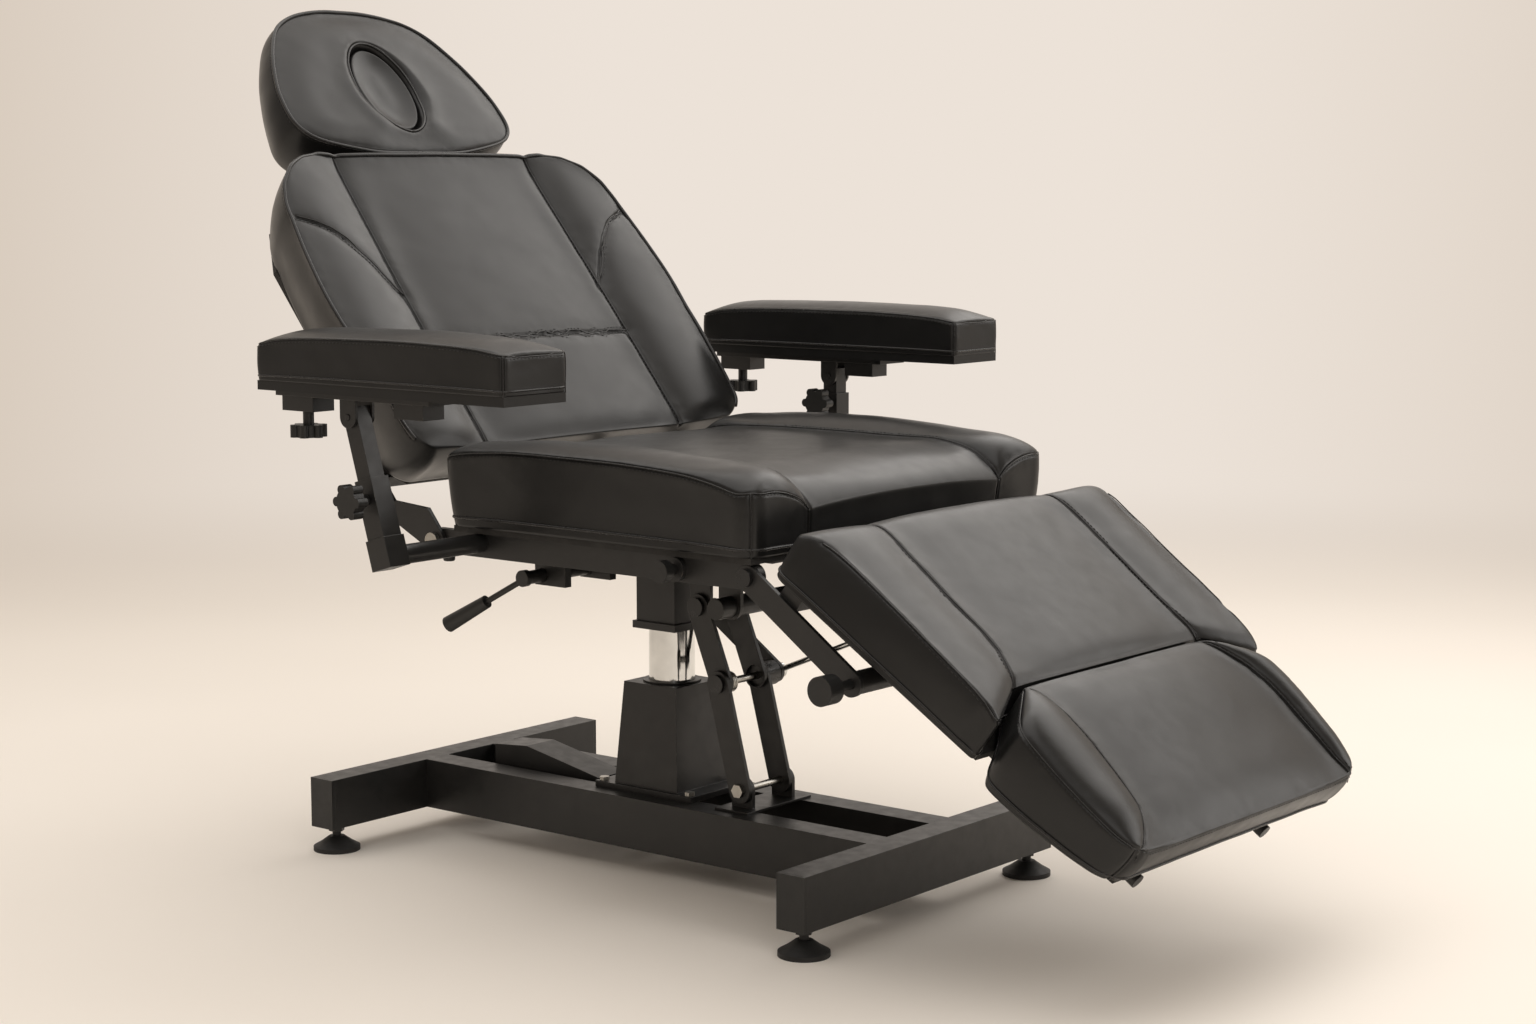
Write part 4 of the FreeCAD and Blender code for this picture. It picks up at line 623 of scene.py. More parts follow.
def trims(name, place, cover, lines, body):
    """Welt cords and stitches on the finished cover."""
    tree = surface_of(cover, place)
    spots = place.local(coordinates(cover.data))
    outward = vertex_normals(cover.data) @ place.axes.T
    stitch_points, stitch_faces = unit_stitch()
    parts = {"welt": ([], [], WELT), "stitches": ([], [], THREAD)}

    def add(kind, points, faces):
        shapes, all_faces = parts[kind][:2]
        base = sum(len(shape) for shape in shapes)
        shapes.append(points)
        turned = -1 if place.mirrored else 1
        all_faces += [tuple(base + k for k in face[::turned]) for face in faces]

    def settled(point):
        spot, normal, _, _ = tree.find_nearest(Vector(point))
        return np.array(spot), np.array(normal) * (-1 if place.mirrored else 1)

    def add_stitch(point, forward, seam, sign):
        if seam.kind == "rim":
            out = point + (0, 0, -seam.stitch)
        else:
            aside = unit(np.array((-forward[1], forward[0], 0.0)))
            outer = math.copysign(1.0, aside[1] * (point[1] or 1.0))
            out = point + aside * outer * seam.stitch * sign
        spot, normal = settled(out)
        across = unit(np.cross(normal, forward))
        axes = np.array([STITCH_LENGTH * np.cross(across, normal), STITCH_WIDTH * across,
                         STITCH_WIDTH * normal])
        add("stitches", spot + normal * STITCH_LIFT + stitch_points @ axes, stitch_faces)

    for line in lines:
        seam, closed = line.seam, line.closed
        if line.numbers is not None:
            run = np.hstack([spots[line.numbers], outward[line.numbers]])
        else:
            run = np.array([np.hstack(settled(point)) for point in line.points])
        if closed:
            run = np.vstack([run, run[:1]])
        run = resample(run, WELT_STEP)
        run[:, 3:] = unit(run[:, 3:])
        if seam.welt:
            add("welt", *tube(welt_path(run, seam, closed), seam.welt, closed))
        if seam.stitch:
            track = resample(run[:, :3], STITCH_PITCH)
            ahead = unit(np.gradient(track, axis=0))
            for sign in (-1, 1) if seam.both else (1,):
                for point, forward in zip(track[1:-1], ahead[1:-1]):
                    add_stitch(point, forward, seam, sign)
    for kind, (shapes, faces, material) in parts.items():
        if shapes:
            piece = mesh_object(name + "_" + kind, place.world(np.vstack(shapes)), faces, material)
            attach(piece, body)


# Whole cushions

GROOVE = 2.3
PUCKER_REACH = 10.0
PUCKER_START = 3.0
PUCKER_SIZE = 21.0
FINE_SIZE = 9.0
FINE_SHARE = 0.3
SAG = 0.3
SAG_SIZE = 110.0
FOOT_FADE = 8.0


def cushion(name, place, form, body, seams, cap=6.0, pucker=0.35, seed=1):
    """The whole of one cushion: cover, grooves, puckers, welts and stitches."""
    faces = form.faces if place.mirrored else [tuple(reversed(f)) for f in form.faces]
    cover = mesh_object(name + "_cover", place.world(form.vertices), faces, LEATHER)
    weights = crease_weights(form, seams)
    creased(cover.data, weights)
    stretched(cover, form.pinned, cap)
    rest = mesh_object(name + "_rest", form.vertices, faces, LEATHER)
    creased(rest.data, weights)
    divided(cover)
    divided(rest)
    plan = coordinates(rest.data)
    tree = BVHTree.FromPolygons([tuple(p) for p in plan], [tuple(f.vertices) for f in rest.data.polygons])
    bpy.data.objects.remove(rest)
    lines = [line for seam in seams for line in followed(seam, form, plan, tree)]
    nearest = np.full(len(plan), 1e9)
    sink = np.zeros(len(plan))
    for line in lines:
        seam = line.seam
        if not seam.depth:
            continue
        gap = line_distance(plan, line.points)
        nearest = np.minimum(nearest, gap)
        sink = np.maximum(sink, seam.depth * np.exp(-(gap / GROOVE) ** 2)
                          + seam.channel * np.exp(-(gap / seam.reach) ** 2))
    near_seam = pucker * np.exp(-nearest / PUCKER_REACH) * (1 - np.exp(-(nearest / PUCKER_START) ** 2))
    fine = FINE_SHARE * wrinkle(plan, FINE_SIZE, seed + 1)
    swell = near_seam * (wrinkle(plan, PUCKER_SIZE, seed) + fine) + SAG * wrinkle(plan, SAG_SIZE, seed + 2)
    close_foot(cover)
    mesh = cover.data
    low_edge = plan[form.foot][:, 2].max()
    held = 1.0 if form.shut else np.clip((plan[:, 2] - low_edge) / FOOT_FADE, 0, 1)
    shift = (swell - sink) * held * MM
    set_coordinates(mesh, coordinates(mesh) + vertex_normals(mesh) * shift[:, None])
    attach(cover, body)
    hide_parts(name)
    trims(name, place, cover, lines, body)


# Materials

def linear(red, green, blue):
    """A colour given as it looks on a screen, 0 to 255, as light values."""
    out = []
    for channel in (red, green, blue):
        c = channel / 255
        out.append(c / 12.92 if c <= 0.04045 else ((c + 0.055) / 1.055) ** 2.4)
    return (*out, 1.0)


class Nodes:
    """A node tree, with one short call that makes a node and fills its sockets."""

    def __init__(self, tree):
        self.tree = tree

    def node(self, kind, sockets=None, **values):
        made = self.tree.nodes.new(kind)
        for key, value in values.items():
            setattr(made, key, value)
        for key, value in (sockets or {}).items():
            self.fill(made.inputs[key], value)
        return made

    def fill(self, socket, value):
        """Links a socket to an output, or sets its value."""
        if isinstance(value, bpy.types.NodeSocket):
            self.tree.links.new(value, socket)
        else:
            socket.default_value = value

    def ramp(self, source, stops):
        made = self.node("ShaderNodeValToRGB", {"Fac": source})
        elements = made.color_ramp.elements
        while len(elements) < len(stops):
            elements.new(0.5)
        for element, (at, colour) in zip(elements, stops):
            element.position = at
            element.color = colour
        return made.outputs["Color"]


class Look(Nodes):
    """A material, with short calls for the textures used here."""

    def __init__(self, name):
        self.material = bpy.data.materials.new(name)
        self.material.use_nodes = True
        super().__init__(self.material.node_tree)
        self.shader = self.tree.nodes["Principled BSDF"]
        self.where = self.node("ShaderNodeTexCoord").outputs["Object"]

    def noise(self, scale, detail=4.0, roughness=0.55, distortion=0.0):
        made = self.node("ShaderNodeTexNoise", {"Scale": scale, "Detail": detail, "Roughness": roughness,
                                                "Distortion": distortion, "Vector": self.where})
        return made.outputs["Fac"]

    def cells(self, scale):
        return self.node("ShaderNodeTexVoronoi", {"Scale": scale, "Vector": self.where}).outputs["Distance"]

    def mottled(self, scale, detail, dark, light, start=0.3, end=0.7):
        """A colour that drifts between two."""
        return self.ramp(self.noise(scale, detail), ((start, dark), (end, light)))

    def span(self, source, low, high, start=0.3, end=0.7):
        return self.node("ShaderNodeMapRange", {"From Min": start, "From Max": end, "To Min": low,
                                                "To Max": high, "Value": source}).outputs["Result"]

    def bump(self, source, strength, distance, normal=None):
        sockets = {"Strength": strength, "Distance": distance, "Height": source}
        if normal:
            sockets["Normal"] = normal
        return self.node("ShaderNodeBump", sockets).outputs["Normal"]

    def dress(self, **sources):
        """Fills the shader's sockets, named with _ for a space."""
        for key, source in sources.items():
            self.fill(self.shader.inputs[key.replace("_", " ")], source)


def leather(name, dark, light, grain=820.0, rough=(0.29, 0.36)):
    look = Look(name)
    coarse = look.bump(look.noise(30.0, 3.0), 0.05, 0.0008)
    cells = look.bump(look.cells(grain), 0.26, 0.00014, coarse)
    look.dress(Base_Color=look.mottled(9.0, 5.0, dark, light, 0.35, 0.65),
               Roughness=look.span(look.noise(38.0, 5.0), *rough),
               Normal=look.bump(look.noise(2100.0, 3.0), 0.16, 0.00007, cells),
               Sheen_Weight=0.02, Sheen_Roughness=0.5, Specular_IOR_Level=0.36)
    return look.material


def coated_steel(name, dark, light, edge):
    """Satin powder coat with a fine peel, and a few rubbed spots on the edges."""
    look = Look(name)
    rounded = look.node("ShaderNodeBevel", {"Radius": 0.0011}, samples=4).outputs["Normal"]
    flat = look.node("ShaderNodeNewGeometry").outputs["Normal"]
    facing = look.node("ShaderNodeVectorMath", {0: rounded, 1: flat}, operation="DOT_PRODUCT")
    on_edge = look.span(facing.outputs["Value"], 1.0, 0.0, 0.80, 0.995)
    patch = look.span(look.noise(120.0, 6.0, 0.65), 0.0, 1.0, 0.56, 0.66)
    both = look.node("ShaderNodeMath", {0: on_edge, 1: patch}, operation="MULTIPLY")
    mix = look.node("ShaderNodeMix", {"Factor": both.outputs["Value"], "B": edge,
                                      "A": look.mottled(14.0, 4.0, dark, light)}, data_type="RGBA")
    look.dress(Base_Color=mix.outputs["Result"], Roughness=look.span(look.noise(60.0, 4.0), 0.34, 0.46),
               Normal=look.bump(look.noise(900.0, 3.0), 0.18, 0.00012, rounded), Specular_IOR_Level=0.5)
    return look.material


def metal(name, colour, low, high):
    look = Look(name)
    lighter = tuple(min(1.0, c * 1.25) for c in colour[:3]) + (1.0,)
    look.dress(Base_Color=look.mottled(30.0, 4.0, colour, lighter, 0.3, 0.75),
               Roughness=look.span(look.noise(70.0, 5.0), low, high),
               Normal=look.bump(look.noise(800.0, 2.0), 0.12, 0.00006), Metallic=1.0)
    return look.material


def moulded(name, dark, light, low, high, pebble=1300.0):
    """Moulded plastic or rubber with a pebbled skin."""
    look = Look(name)
    look.dress(Base_Color=look.mottled(22.0, 4.0, dark, light),
               Roughness=look.span(look.noise(90.0, 4.0), low, high),
               Normal=look.bump(look.cells(pebble), 0.22, 0.00012))
    return look.material


def plywood(name):
    look = Look(name)
    look.dress(Base_Color=look.ramp(look.noise(40.0, 6.0, 0.6, 1.2),
                                    ((0.3, linear(26, 25, 24)), (0.7, linear(38, 36, 34)))),
               Roughness=look.span(look.noise(50.0, 4.0), 0.6, 0.8),
               Normal=look.bump(look.noise(500.0, 4.0), 0.3, 0.0002))
    return look.material


LEATHER = leather("black_leather", linear(17, 17, 17), linear(22, 22, 22))
WELT = leather("leather_welt", linear(28, 28, 28), linear(38, 37, 37), 1400.0, (0.22, 0.3))
THREAD = leather("stitching_thread", linear(16, 16, 16), linear(40, 39, 38), 2600.0, (0.4, 0.55))
STEEL = coated_steel("coated_steel", linear(24, 24, 24), linear(32, 31, 30), linear(120, 112, 102))
CHROME = metal("polished_chrome", linear(200, 200, 198), 0.06, 0.16)
ZINC = metal("zinc_plate", linear(165, 162, 155), 0.22, 0.38)
PLASTIC = moulded("black_plastic", linear(18, 18, 18), linear(27, 27, 26), 0.36, 0.5)
RUBBER = moulded("black_rubber", linear(20, 20, 20), linear(30, 29, 28), 0.55, 0.7, 900.0)
BOARD = plywood("coated_board")
SLOT_LOOKS = {"leather": LEATHER, "frame_steel": STEEL, "chrome": CHROME, "zinc": ZINC, "plastic": PLASTIC,
              "rubber": RUBBER, "board": BOARD}


def split_look(name, axis, edge, below, above, fold=False):
    """Two fastener finishes in one material, parted at a place along one axis of the world."""
    look = Look(name)
    spot = look.node("ShaderNodeNewGeometry").outputs["Position"]
    where = look.node("ShaderNodeSeparateXYZ", {0: spot}).outputs[axis]
    if fold:
        where = look.node("ShaderNodeMath", {0: where}, operation="ABSOLUTE").outputs["Value"]
    side = look.node("ShaderNodeMath", {0: where, 1: edge}, operation="GREATER_THAN").outputs["Value"]
    for key, kind in (("Base Color", "RGBA"), ("Metallic", "FLOAT")):
        mix = look.node("ShaderNodeMix", {"Factor": side, "A": below[key], "B": above[key]}, data_type=kind)
        look.fill(look.shader.inputs[key], mix.outputs["Result"])
    look.dress(Roughness=look.span(look.noise(70.0, 5.0), 0.24, 0.38),
               Normal=look.bump(look.noise(800.0, 2.0), 0.12, 0.00006))
    return look.material


BLACK_FINISH = {"Base Color": linear(24, 24, 24), "Metallic": 0.0}
BRIGHT_FINISH = {"Base Color": linear(178, 175, 168), "Metallic": 1.0}


def dress_nodes():
    """Gives every CAD node the look of its slot, or its own where the photo shows another."""
    own = {"frame_bolts": split_look("pivot_bolts", "X", -0.20, BRIGHT_FINISH, BLACK_FINISH),
           "knee_pin": split_look("knee_pin", "Y", 0.0395, BRIGHT_FINISH, BLACK_FINISH, fold=True),
           "base_fasteners": split_look("base_fasteners", "Z", 0.06, BLACK_FINISH, BRIGHT_FINISH),
           "foot_slides": STEEL}
    for name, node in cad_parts.items():
        for slot in node.material_slots:
            key = (slot.material.name if slot.material else "").split(".")[0]
            slot.material = own.get(name) or SLOT_LOOKS.get(key, STEEL)


dress_nodes()


# Camera at the photograph's place

CAMERA_AT = (2.29105, -2.7678, 0.94439)
CAMERA_TURN = math.radians(38.7051)
CAMERA_DIP = math.radians(7.1603)
LENS = 63.48


def make_camera():
    data = bpy.data.cameras.new("camera")
    data.lens = LENS
    data.sensor_width = 36.0
    data.clip_end = 60
    camera = bpy.data.objects.new("camera", data)
    camera.location = CAMERA_AT
    camera.rotation_euler = (math.pi / 2 - CAMERA_DIP, 0, CAMERA_TURN)
    bpy.context.scene.collection.objects.link(camera)
    bpy.context.scene.camera = camera


make_camera()


# Stage and light

SURROUND = linear(236, 226, 216)
SURROUND_EDGE = linear(216, 203, 189)
BEHIND_SHARE = 0.62
BACKDROP_DIRECTION = (-0.60, 0.80, 0.0)
FLOOR_DARK = (0.87, 0.82, 0.755, 1.0)
FLOOR_LIGHT = (0.90, 0.85, 0.785, 1.0)
FLOOR_RADIUS = 14.0
FLOOR_RINGS = 40
FLOOR_SIDES = 96
FLOOR_NEAR = 1.5
FLOOR_FAR = 5.2
WARM_WHITE = (1.0, 0.985, 0.965)


def glow(nodes, vector):
    """The backdrop's colour by direction, used for the world's light and for the far floor's painted glow:
    brightest straight behind the chair.
    """
    facing = nodes.node("ShaderNodeVectorMath", {0: vector, 1: BACKDROP_DIRECTION}, operation="DOT_PRODUCT")
    behind = tuple(BEHIND_SHARE * c for c in SURROUND_EDGE[:3]) + (1.0,)
    return nodes.ramp(facing.outputs["Value"], ((0.0, behind), (0.95, SURROUND_EDGE), (0.995, SURROUND)))


def direction(nodes, vector):
    return nodes.node("ShaderNodeVectorMath", {0: vector}, operation="NORMALIZE").outputs["Vector"]


def floor_and_far_glow_look():
    """Pale matt floor near the chair. Further out it glows with the backdrop's colour as painted light,
    brightest behind the chair and darker to the sides.
    """
    look = Look("pale_floor_and_far_glow")
    look.dress(Base_Color=look.mottled(0.8, 2.0, FLOOR_DARK, FLOOR_LIGHT),
               Roughness=look.span(look.noise(5.0, 3.0), 0.75, 0.85))
    distance = look.node("ShaderNodeVectorMath", {0: look.where}, operation="LENGTH").outputs["Value"]
    fade = look.node("ShaderNodeMapRange", {"From Min": FLOOR_NEAR, "From Max": FLOOR_FAR, "Value": distance},
                     interpolation_type="SMOOTHERSTEP")
    from_view = look.node("ShaderNodeVectorMath", {0: look.where, 1: (CAMERA_AT[0], CAMERA_AT[1], 0.0)},
                          operation="SUBTRACT").outputs["Vector"]
    # Painted light: the far floor glows with the backdrop's colour instead of taking light, brightest behind
    # the chair and darker to the sides.
    far = look.node("ShaderNodeEmission", {"Color": glow(look, direction(look, from_view))})
    mix = look.node("ShaderNodeMixShader", {"Fac": fade.outputs["Result"], 1: look.shader.outputs["BSDF"],
                                            2: far.outputs["Emission"]})
    look.fill(look.tree.nodes["Material Output"].inputs["Surface"], mix.outputs["Shader"])
    return look.material


def make_stage():
    """A wide pale floor that runs into the pale surround, its far part glowing with painted light."""
    points, faces = [(0.0, 0.0, 0.0)], []
    for k in range(1, FLOOR_RINGS + 1):
        r = FLOOR_RADIUS * (k / FLOOR_RINGS) ** 1.6
        turns = [2 * math.pi * a / FLOOR_SIDES for a in range(FLOOR_SIDES)]
        points += [(r * math.cos(turn), r * math.sin(turn), 0.0) for turn in turns]
        outer = [1 + (k - 1) * FLOOR_SIDES + a for a in range(FLOOR_SIDES)]
        if k == 1:
            faces += [(0, outer[a - 1], outer[a]) for a in range(FLOOR_SIDES)]
        else:
            faces += ring_faces(inner, outer)
        inner = outer
    mesh_object("floor", points, faces, floor_and_far_glow_look())


make_stage()


def area_light(name, at, target, size, power):
    data = bpy.data.lights.new(name, "AREA")
    data.shape = "RECTANGLE"
    data.size, data.size_y = size
    data.energy = power
    data.color = WARM_WHITE
    light = bpy.data.objects.new(name, data)
    light.location = at
    aim = Vector(target) - Vector(at)
    light.rotation_euler = aim.to_track_quat("-Z", "Y").to_euler()
    light.visible_camera = False
    bpy.context.scene.collection.objects.link(light)


def make_light():
    world = bpy.data.worlds.new("surround")
    world.use_nodes = True
    nodes = Nodes(world.node_tree)
    where = nodes.node("ShaderNodeTexCoord").outputs["Generated"]
    flat = nodes.node("ShaderNodeVectorMath", {0: where, 1: (1, 1, 0)},
                      operation="MULTIPLY").outputs["Vector"]
    nodes.fill(nodes.tree.nodes["Background"].inputs["Color"], glow(nodes, direction(nodes, flat)))
    bpy.context.scene.world = world
    area_light("far_softbox", (0.3, 2.7, 2.8), (0.15, 0, 0.55), (3.2, 1.8), 36)
    area_light("right_softbox", (2.3, 2.4, 1.5), (0.2, -0.2, 0.6), (1.4, 1.4), 15)
    area_light("front_fill", (3.0, -1.4, 1.8), (0.2, 0, 0.5), (2.6, 2.2), 20)
    area_light("overhead", (-0.3, -0.3, 3.0), (0, 0, 0.4), (3.8, 3.8), 60)


make_light()
bpy.context.scene.view_settings.view_transform = "Standard"
bpy.context.scene.view_settings.look = "None"


# Seat cushion

SEAT_ENDS = (-121.0, 397.0)
SEAT_SEAM = 205.0
SEAT_HALF_WIDTH = 317.0


def seat_height(along, across):
    seam = smooth(((-121, 80), (-98, 90), (-45, 95.5), (110, 98), (222, 97), (284, 98), (325, 93), (356, 84),
                   (376, 72), (388, 62), (397, 50)))(along)
    edge = smooth(((-121, 82), (-98, 92), (-66, 97), (24, 102), (154, 101), (278, 95), (349, 83), (384, 72),
                   (397, 68)))(along)
    crest = smooth(((-121, 92), (-104, 105), (-29, 117), (38, 121), (132, 122), (270, 116), (341, 107),
                    (375, 98), (390, 88), (397, 76)))(along)
    reach = np.abs(across)
    side = across_panel(reach, SEAT_SEAM, SEAT_HALF_WIDTH)
    bolster = seam + (edge - seam) * side + (crest - (seam + edge) / 2) * arch(side, 0.62)
    centre = seam + 8.0 * crown(across / SEAT_SEAM, 0.75)
    return np.where(reach > SEAT_SEAM, bolster, centre)


def make_seat():
    start, end = SEAT_ENDS
    side, low_side = steady(SEAT_HALF_WIDTH), steady(SEAT_HALF_WIDTH - 6)
    form = grid_form(SEAT_ENDS, side, side, seat_height, (start + 7, end - 4), low_side, low_side,
                     steady(0.0), corners=(22, 24), inner=(steady(SEAT_SEAM), steady(SEAT_SEAM)), bulge=4.0)

    def sewn(along, across):
        return (along < end - 6) | (np.abs(across) > SEAT_SEAM - 4)

    seams = [Seam("rim", depth=2.4, keep=sewn), Seam("base", depth=0, stitch=0, welt=2.0)]
    for sign in (-1, 1):
        seams.append(Seam(points=[(start, sign * SEAT_SEAM), (end + 1, sign * SEAT_SEAM)], depth=3.2))
        seams.append(Seam("wall", (end, sign * SEAT_SEAM), depth=2.6, stitch=0))
        seams.append(Seam("wall", (end - 6, sign * (SEAT_HALF_WIDTH - 6)), depth=2.2, stitch=0))
    cushion("seat_cushion", SEAT, form, "seat_carriage", seams, seed=11)


# Back cushion

BACK_ENDS = (92.0, 580.0)
BACK_SEAM_HEIGHT = 72.0
BACK_EDGE_HEIGHT = 83.0
BACK_CROSS_SEAM = 260.0
BACK_YOKE = ((341, 197), (398, 230), (448, 277), (470, 324))


def back_seam(along):
    return smooth(((92, 198.5), (100, 198.5), (260, 198), (340, 197), (470, 193), (580, 190)))(along)


def back_height(along, across):
    reach = np.abs(across)
    inner = back_seam(along)
    outer = smooth(((92, 318), (143, 337), (334, 345), (401, 340), (475, 328), (541, 318), (580, 300)))(along)
    side = across_panel(reach, inner, outer)
    bolster = (BACK_EDGE_HEIGHT - BACK_SEAM_HEIGHT) * side + 15.0 * arch(side, 0.62)
    centre = 13.0 * crown(reach / inner, 0.6)
    ends = puff((along - BACK_ENDS[0]) / 34.0) * puff((BACK_ENDS[1] - along) / 34.0)
    rise = smooth(((92, 70), (120, 72), (560, 73), (580, 79)))(along)
    return rise + np.where(reach > inner, bolster, centre) * (0.25 + 0.75 * ends)


def make_back():
    start, end = BACK_ENDS
    side = smooth(((92, 320), (115, 333), (143, 337), (200, 338), (334, 347), (401, 342), (475, 331),
                   (541, 322), (580, 310)))
    low_side = smooth(((100, 290), (143, 300), (334, 304), (475, 292), (572, 274)))
    form = grid_form(BACK_ENDS, side, side, back_height, (start + 12, end - 14), low_side, low_side,
                     steady(-21.0), corners=(26, 88), inner=(back_seam, back_seam), bulge=9.0,
                     bulge_power=0.9)
    along = np.linspace(start, end, 30)
    seams = [Seam("rim", depth=1.0, stitch=5.0, welt=2.8, keep=lambda along, across: along > start + 14)]
    for sign in (-1, 1):
        seams.append(Seam(points=np.column_stack([along, sign * back_seam(along)]), depth=3.4))
        yoke = softened(resample([(s, sign * y) for s, y in BACK_YOKE], 12.0))
        seams.append(Seam(points=yoke, depth=2.8, channel=1.5, reach=12.0))
    seams.append(Seam(points=[(BACK_CROSS_SEAM, -198), (BACK_CROSS_SEAM, 198)], depth=3.2, channel=1.5,
                      reach=14.0, both=True))
    cushion("back_cushion", BACK, form, "back", seams, seed=23)


# Headrest cushion and the plug of its face hole

HOLE_UP = 715.0
HOLE_HALF_HEIGHT = 79.0
HOLE_HALF_WIDTH = 53.0
RING_POINTS = 96
HEAD_HALF = ((597, 60), (599, 90), (604, 118), (611, 152), (620, 184), (638, 207), (655, 213), (690, 211),
             (749, 192), (793, 168), (822, 146), (845, 108), (856, 68), (861, 30))
HEAD_RIM_HEIGHT = 66.0
HEAD_THICKNESS = 85.0
HEAD_TOP_ROWS = 14
HEAD_SIDE_ROWS = 7
HOLE_WALL = (-17.0, 20.0, 50.0, 64.0)
PLUG_RINGS = ((48.0, 61.0), (40.0, 61.2), (30.0, 62.0), (20.0, 63.6), (11.0, 65.8), (6.5, 67.0), (4.0, 65.6),
              (3.2, 58.0), (3.0, 30.0), (3.0, -17.0))
PLUG_EDGE = 5
PLUG_POINTS = 48


def head_outline():
    """The turns about the hole at which the headrest's rings have points, and its outline there."""
    along = np.concatenate([np.linspace(597, 660, 34), np.linspace(668, 840, 24), np.linspace(846, 861, 12)])
    right = np.column_stack([along, smooth(HEAD_HALF)(along)])
    left = right[::-1] * (1, -1)
    loop = resample(np.vstack([left, right, left[:1]]), 2.0)[:-1]
    for _ in range(14):
        loop = (np.roll(loop, 1, axis=0) + 2 * loop + np.roll(loop, -1, axis=0)) / 4
    turn = np.arctan2(loop[:, 1], loop[:, 0] - HOLE_UP)
    order = np.argsort(turn)
    loop, turn = loop[order], turn[order]
    wanted = even_turns(loop, turn)
    return wanted, np.column_stack([np.interp(wanted, turn, loop[:, k], period=2 * math.pi) for k in (0, 1)])


def even_turns(loop, turn):
    """Turn angles halfway between evenly spaced ones and evenly spaced points on the loop."""
    closed = np.vstack([loop, loop[:1]])
    runs = np.concatenate([[0], np.cumsum(np.linalg.norm(np.diff(closed, axis=0), axis=1))])
    angles = np.concatenate([turn, [turn[0] + 2 * math.pi]])
    at = np.interp(np.linspace(0, runs[-1], RING_POINTS, endpoint=False), runs, angles)
    plain = turn[0] + np.linspace(0, 2 * math.pi, RING_POINTS, endpoint=False)
    return (at + plain) / 2


def round_hole(turns, radius):
    """Points at given turns and distances from the middle of the face hole."""
    return np.column_stack([HOLE_UP + radius * np.cos(turns), radius * np.sin(turns)])


def oval(turns, gap):
    """Points of the face hole's oval at given turns, drawn in by gap."""
    a, b = HOLE_HALF_HEIGHT - gap, HOLE_HALF_WIDTH - gap
    return round_hole(turns, a * b / np.sqrt((b * np.cos(turns)) ** 2 + (a * np.sin(turns)) ** 2))


def ring_at(plan, height):
    return np.column_stack([plan, np.broadcast_to(height, len(plan))])


def make_head():
    turns, outline = head_outline()
    radius = np.hypot(outline[:, 0] - HOLE_UP, outline[:, 1])
    drawn_in = smooth(((-math.pi, -9), (-2.4, -2), (-math.pi / 2, 32), (0, 30), (math.pi / 2, 32), (2.4, -2),
                       (math.pi, -9)))(np.arctan2(np.sin(turns), np.cos(turns)))
    rear = round_hole(turns, radius - drawn_in)
    outward = (outline - (HOLE_UP, 0)) / radius[:, None]
    hole = oval(turns, -0.5)
    rings = [ring_at(oval(turns, 0.5), height) for height in HOLE_WALL]
    for k in range(1, HEAD_TOP_ROWS + 1):
        plan = hole + (outline - hole) * k / HEAD_TOP_ROWS
        gap_out = np.linalg.norm(outline - plan, axis=1)
        gap_in = np.linalg.norm(plan - hole, axis=1)
        swell = 13.0 * puff(gap_out / 62.0) * (0.35 + 0.65 * puff(gap_in / 30.0))
        rings.append(ring_at(plan, HEAD_RIM_HEIGHT + swell))
    rim_ring = len(rings) - 1
    for k in range(1, HEAD_SIDE_ROWS + 1):
        v = k / HEAD_SIDE_ROWS
        plan = outline + (rear - outline) * v ** 1.35 + outward * 10.0 * math.sin(math.pi * v) ** 0.9
        rings.append(ring_at(plan, HEAD_RIM_HEIGHT - HEAD_THICKNESS * v))
    form = ring_form(rings, rim_ring, (0, 3, 4, rim_ring, len(rings) - 1), shut=True)
    hole_line = np.vstack([oval(turns, -4.0), oval(turns[:1], -4.0)])
    seams = [Seam("rim", depth=1.0, stitch=5.0, welt=2.8),
             Seam(points=hole_line, depth=1.2, stitch=0, welt=1.8)]
    cushion("headrest_cushion", BACK, form, "headrest", seams, seed=37)


def make_plug():
    turns = np.linspace(-math.pi, math.pi, PLUG_POINTS, endpoint=False)
    rings = [ring_at(oval(turns, gap), height) for gap, height in PLUG_RINGS]
    form = ring_form(rings, PLUG_EDGE, (0, len(rings) - 1), shut=False)
    cushion("headrest_plug", BACK, form, "headrest_plug", [], cap=1.5, seed=41)


# Calf cushion

CALF_ENDS = (31.0, 371.0)
NOTCH_DEEP = 322.0
NOTCH_TIP = 369.0
NOTCH_INNER = 208.0
NOTCH_OUTER = 296.0
CALF_EASE = 235.0
CALF_NEAR_SEAM = ((31, 174), (56, 172), (107, 176), (148, 178), (190, 181), (241, 181), (290, 186),
                  (335, 197), (371, 208))
CALF_FAR_SEAM = ((31, 200), (42, 212), (91, 214), (180, 208), (260, 203), (310, 202), (371, 208))


def calf_warp(along, across):
    """Draws the far end back to the notch that the foot cushion's tongue fills."""
    share = np.clip((np.abs(across) - NOTCH_INNER) / (NOTCH_OUTER - NOTCH_INNER), 0, 1)
    end = NOTCH_DEEP + (NOTCH_TIP - NOTCH_DEEP) * share
    scale = (end - CALF_EASE) / (CALF_ENDS[1] - CALF_EASE)
    return np.where(along > CALF_EASE, CALF_EASE + (along - CALF_EASE) * scale, along)


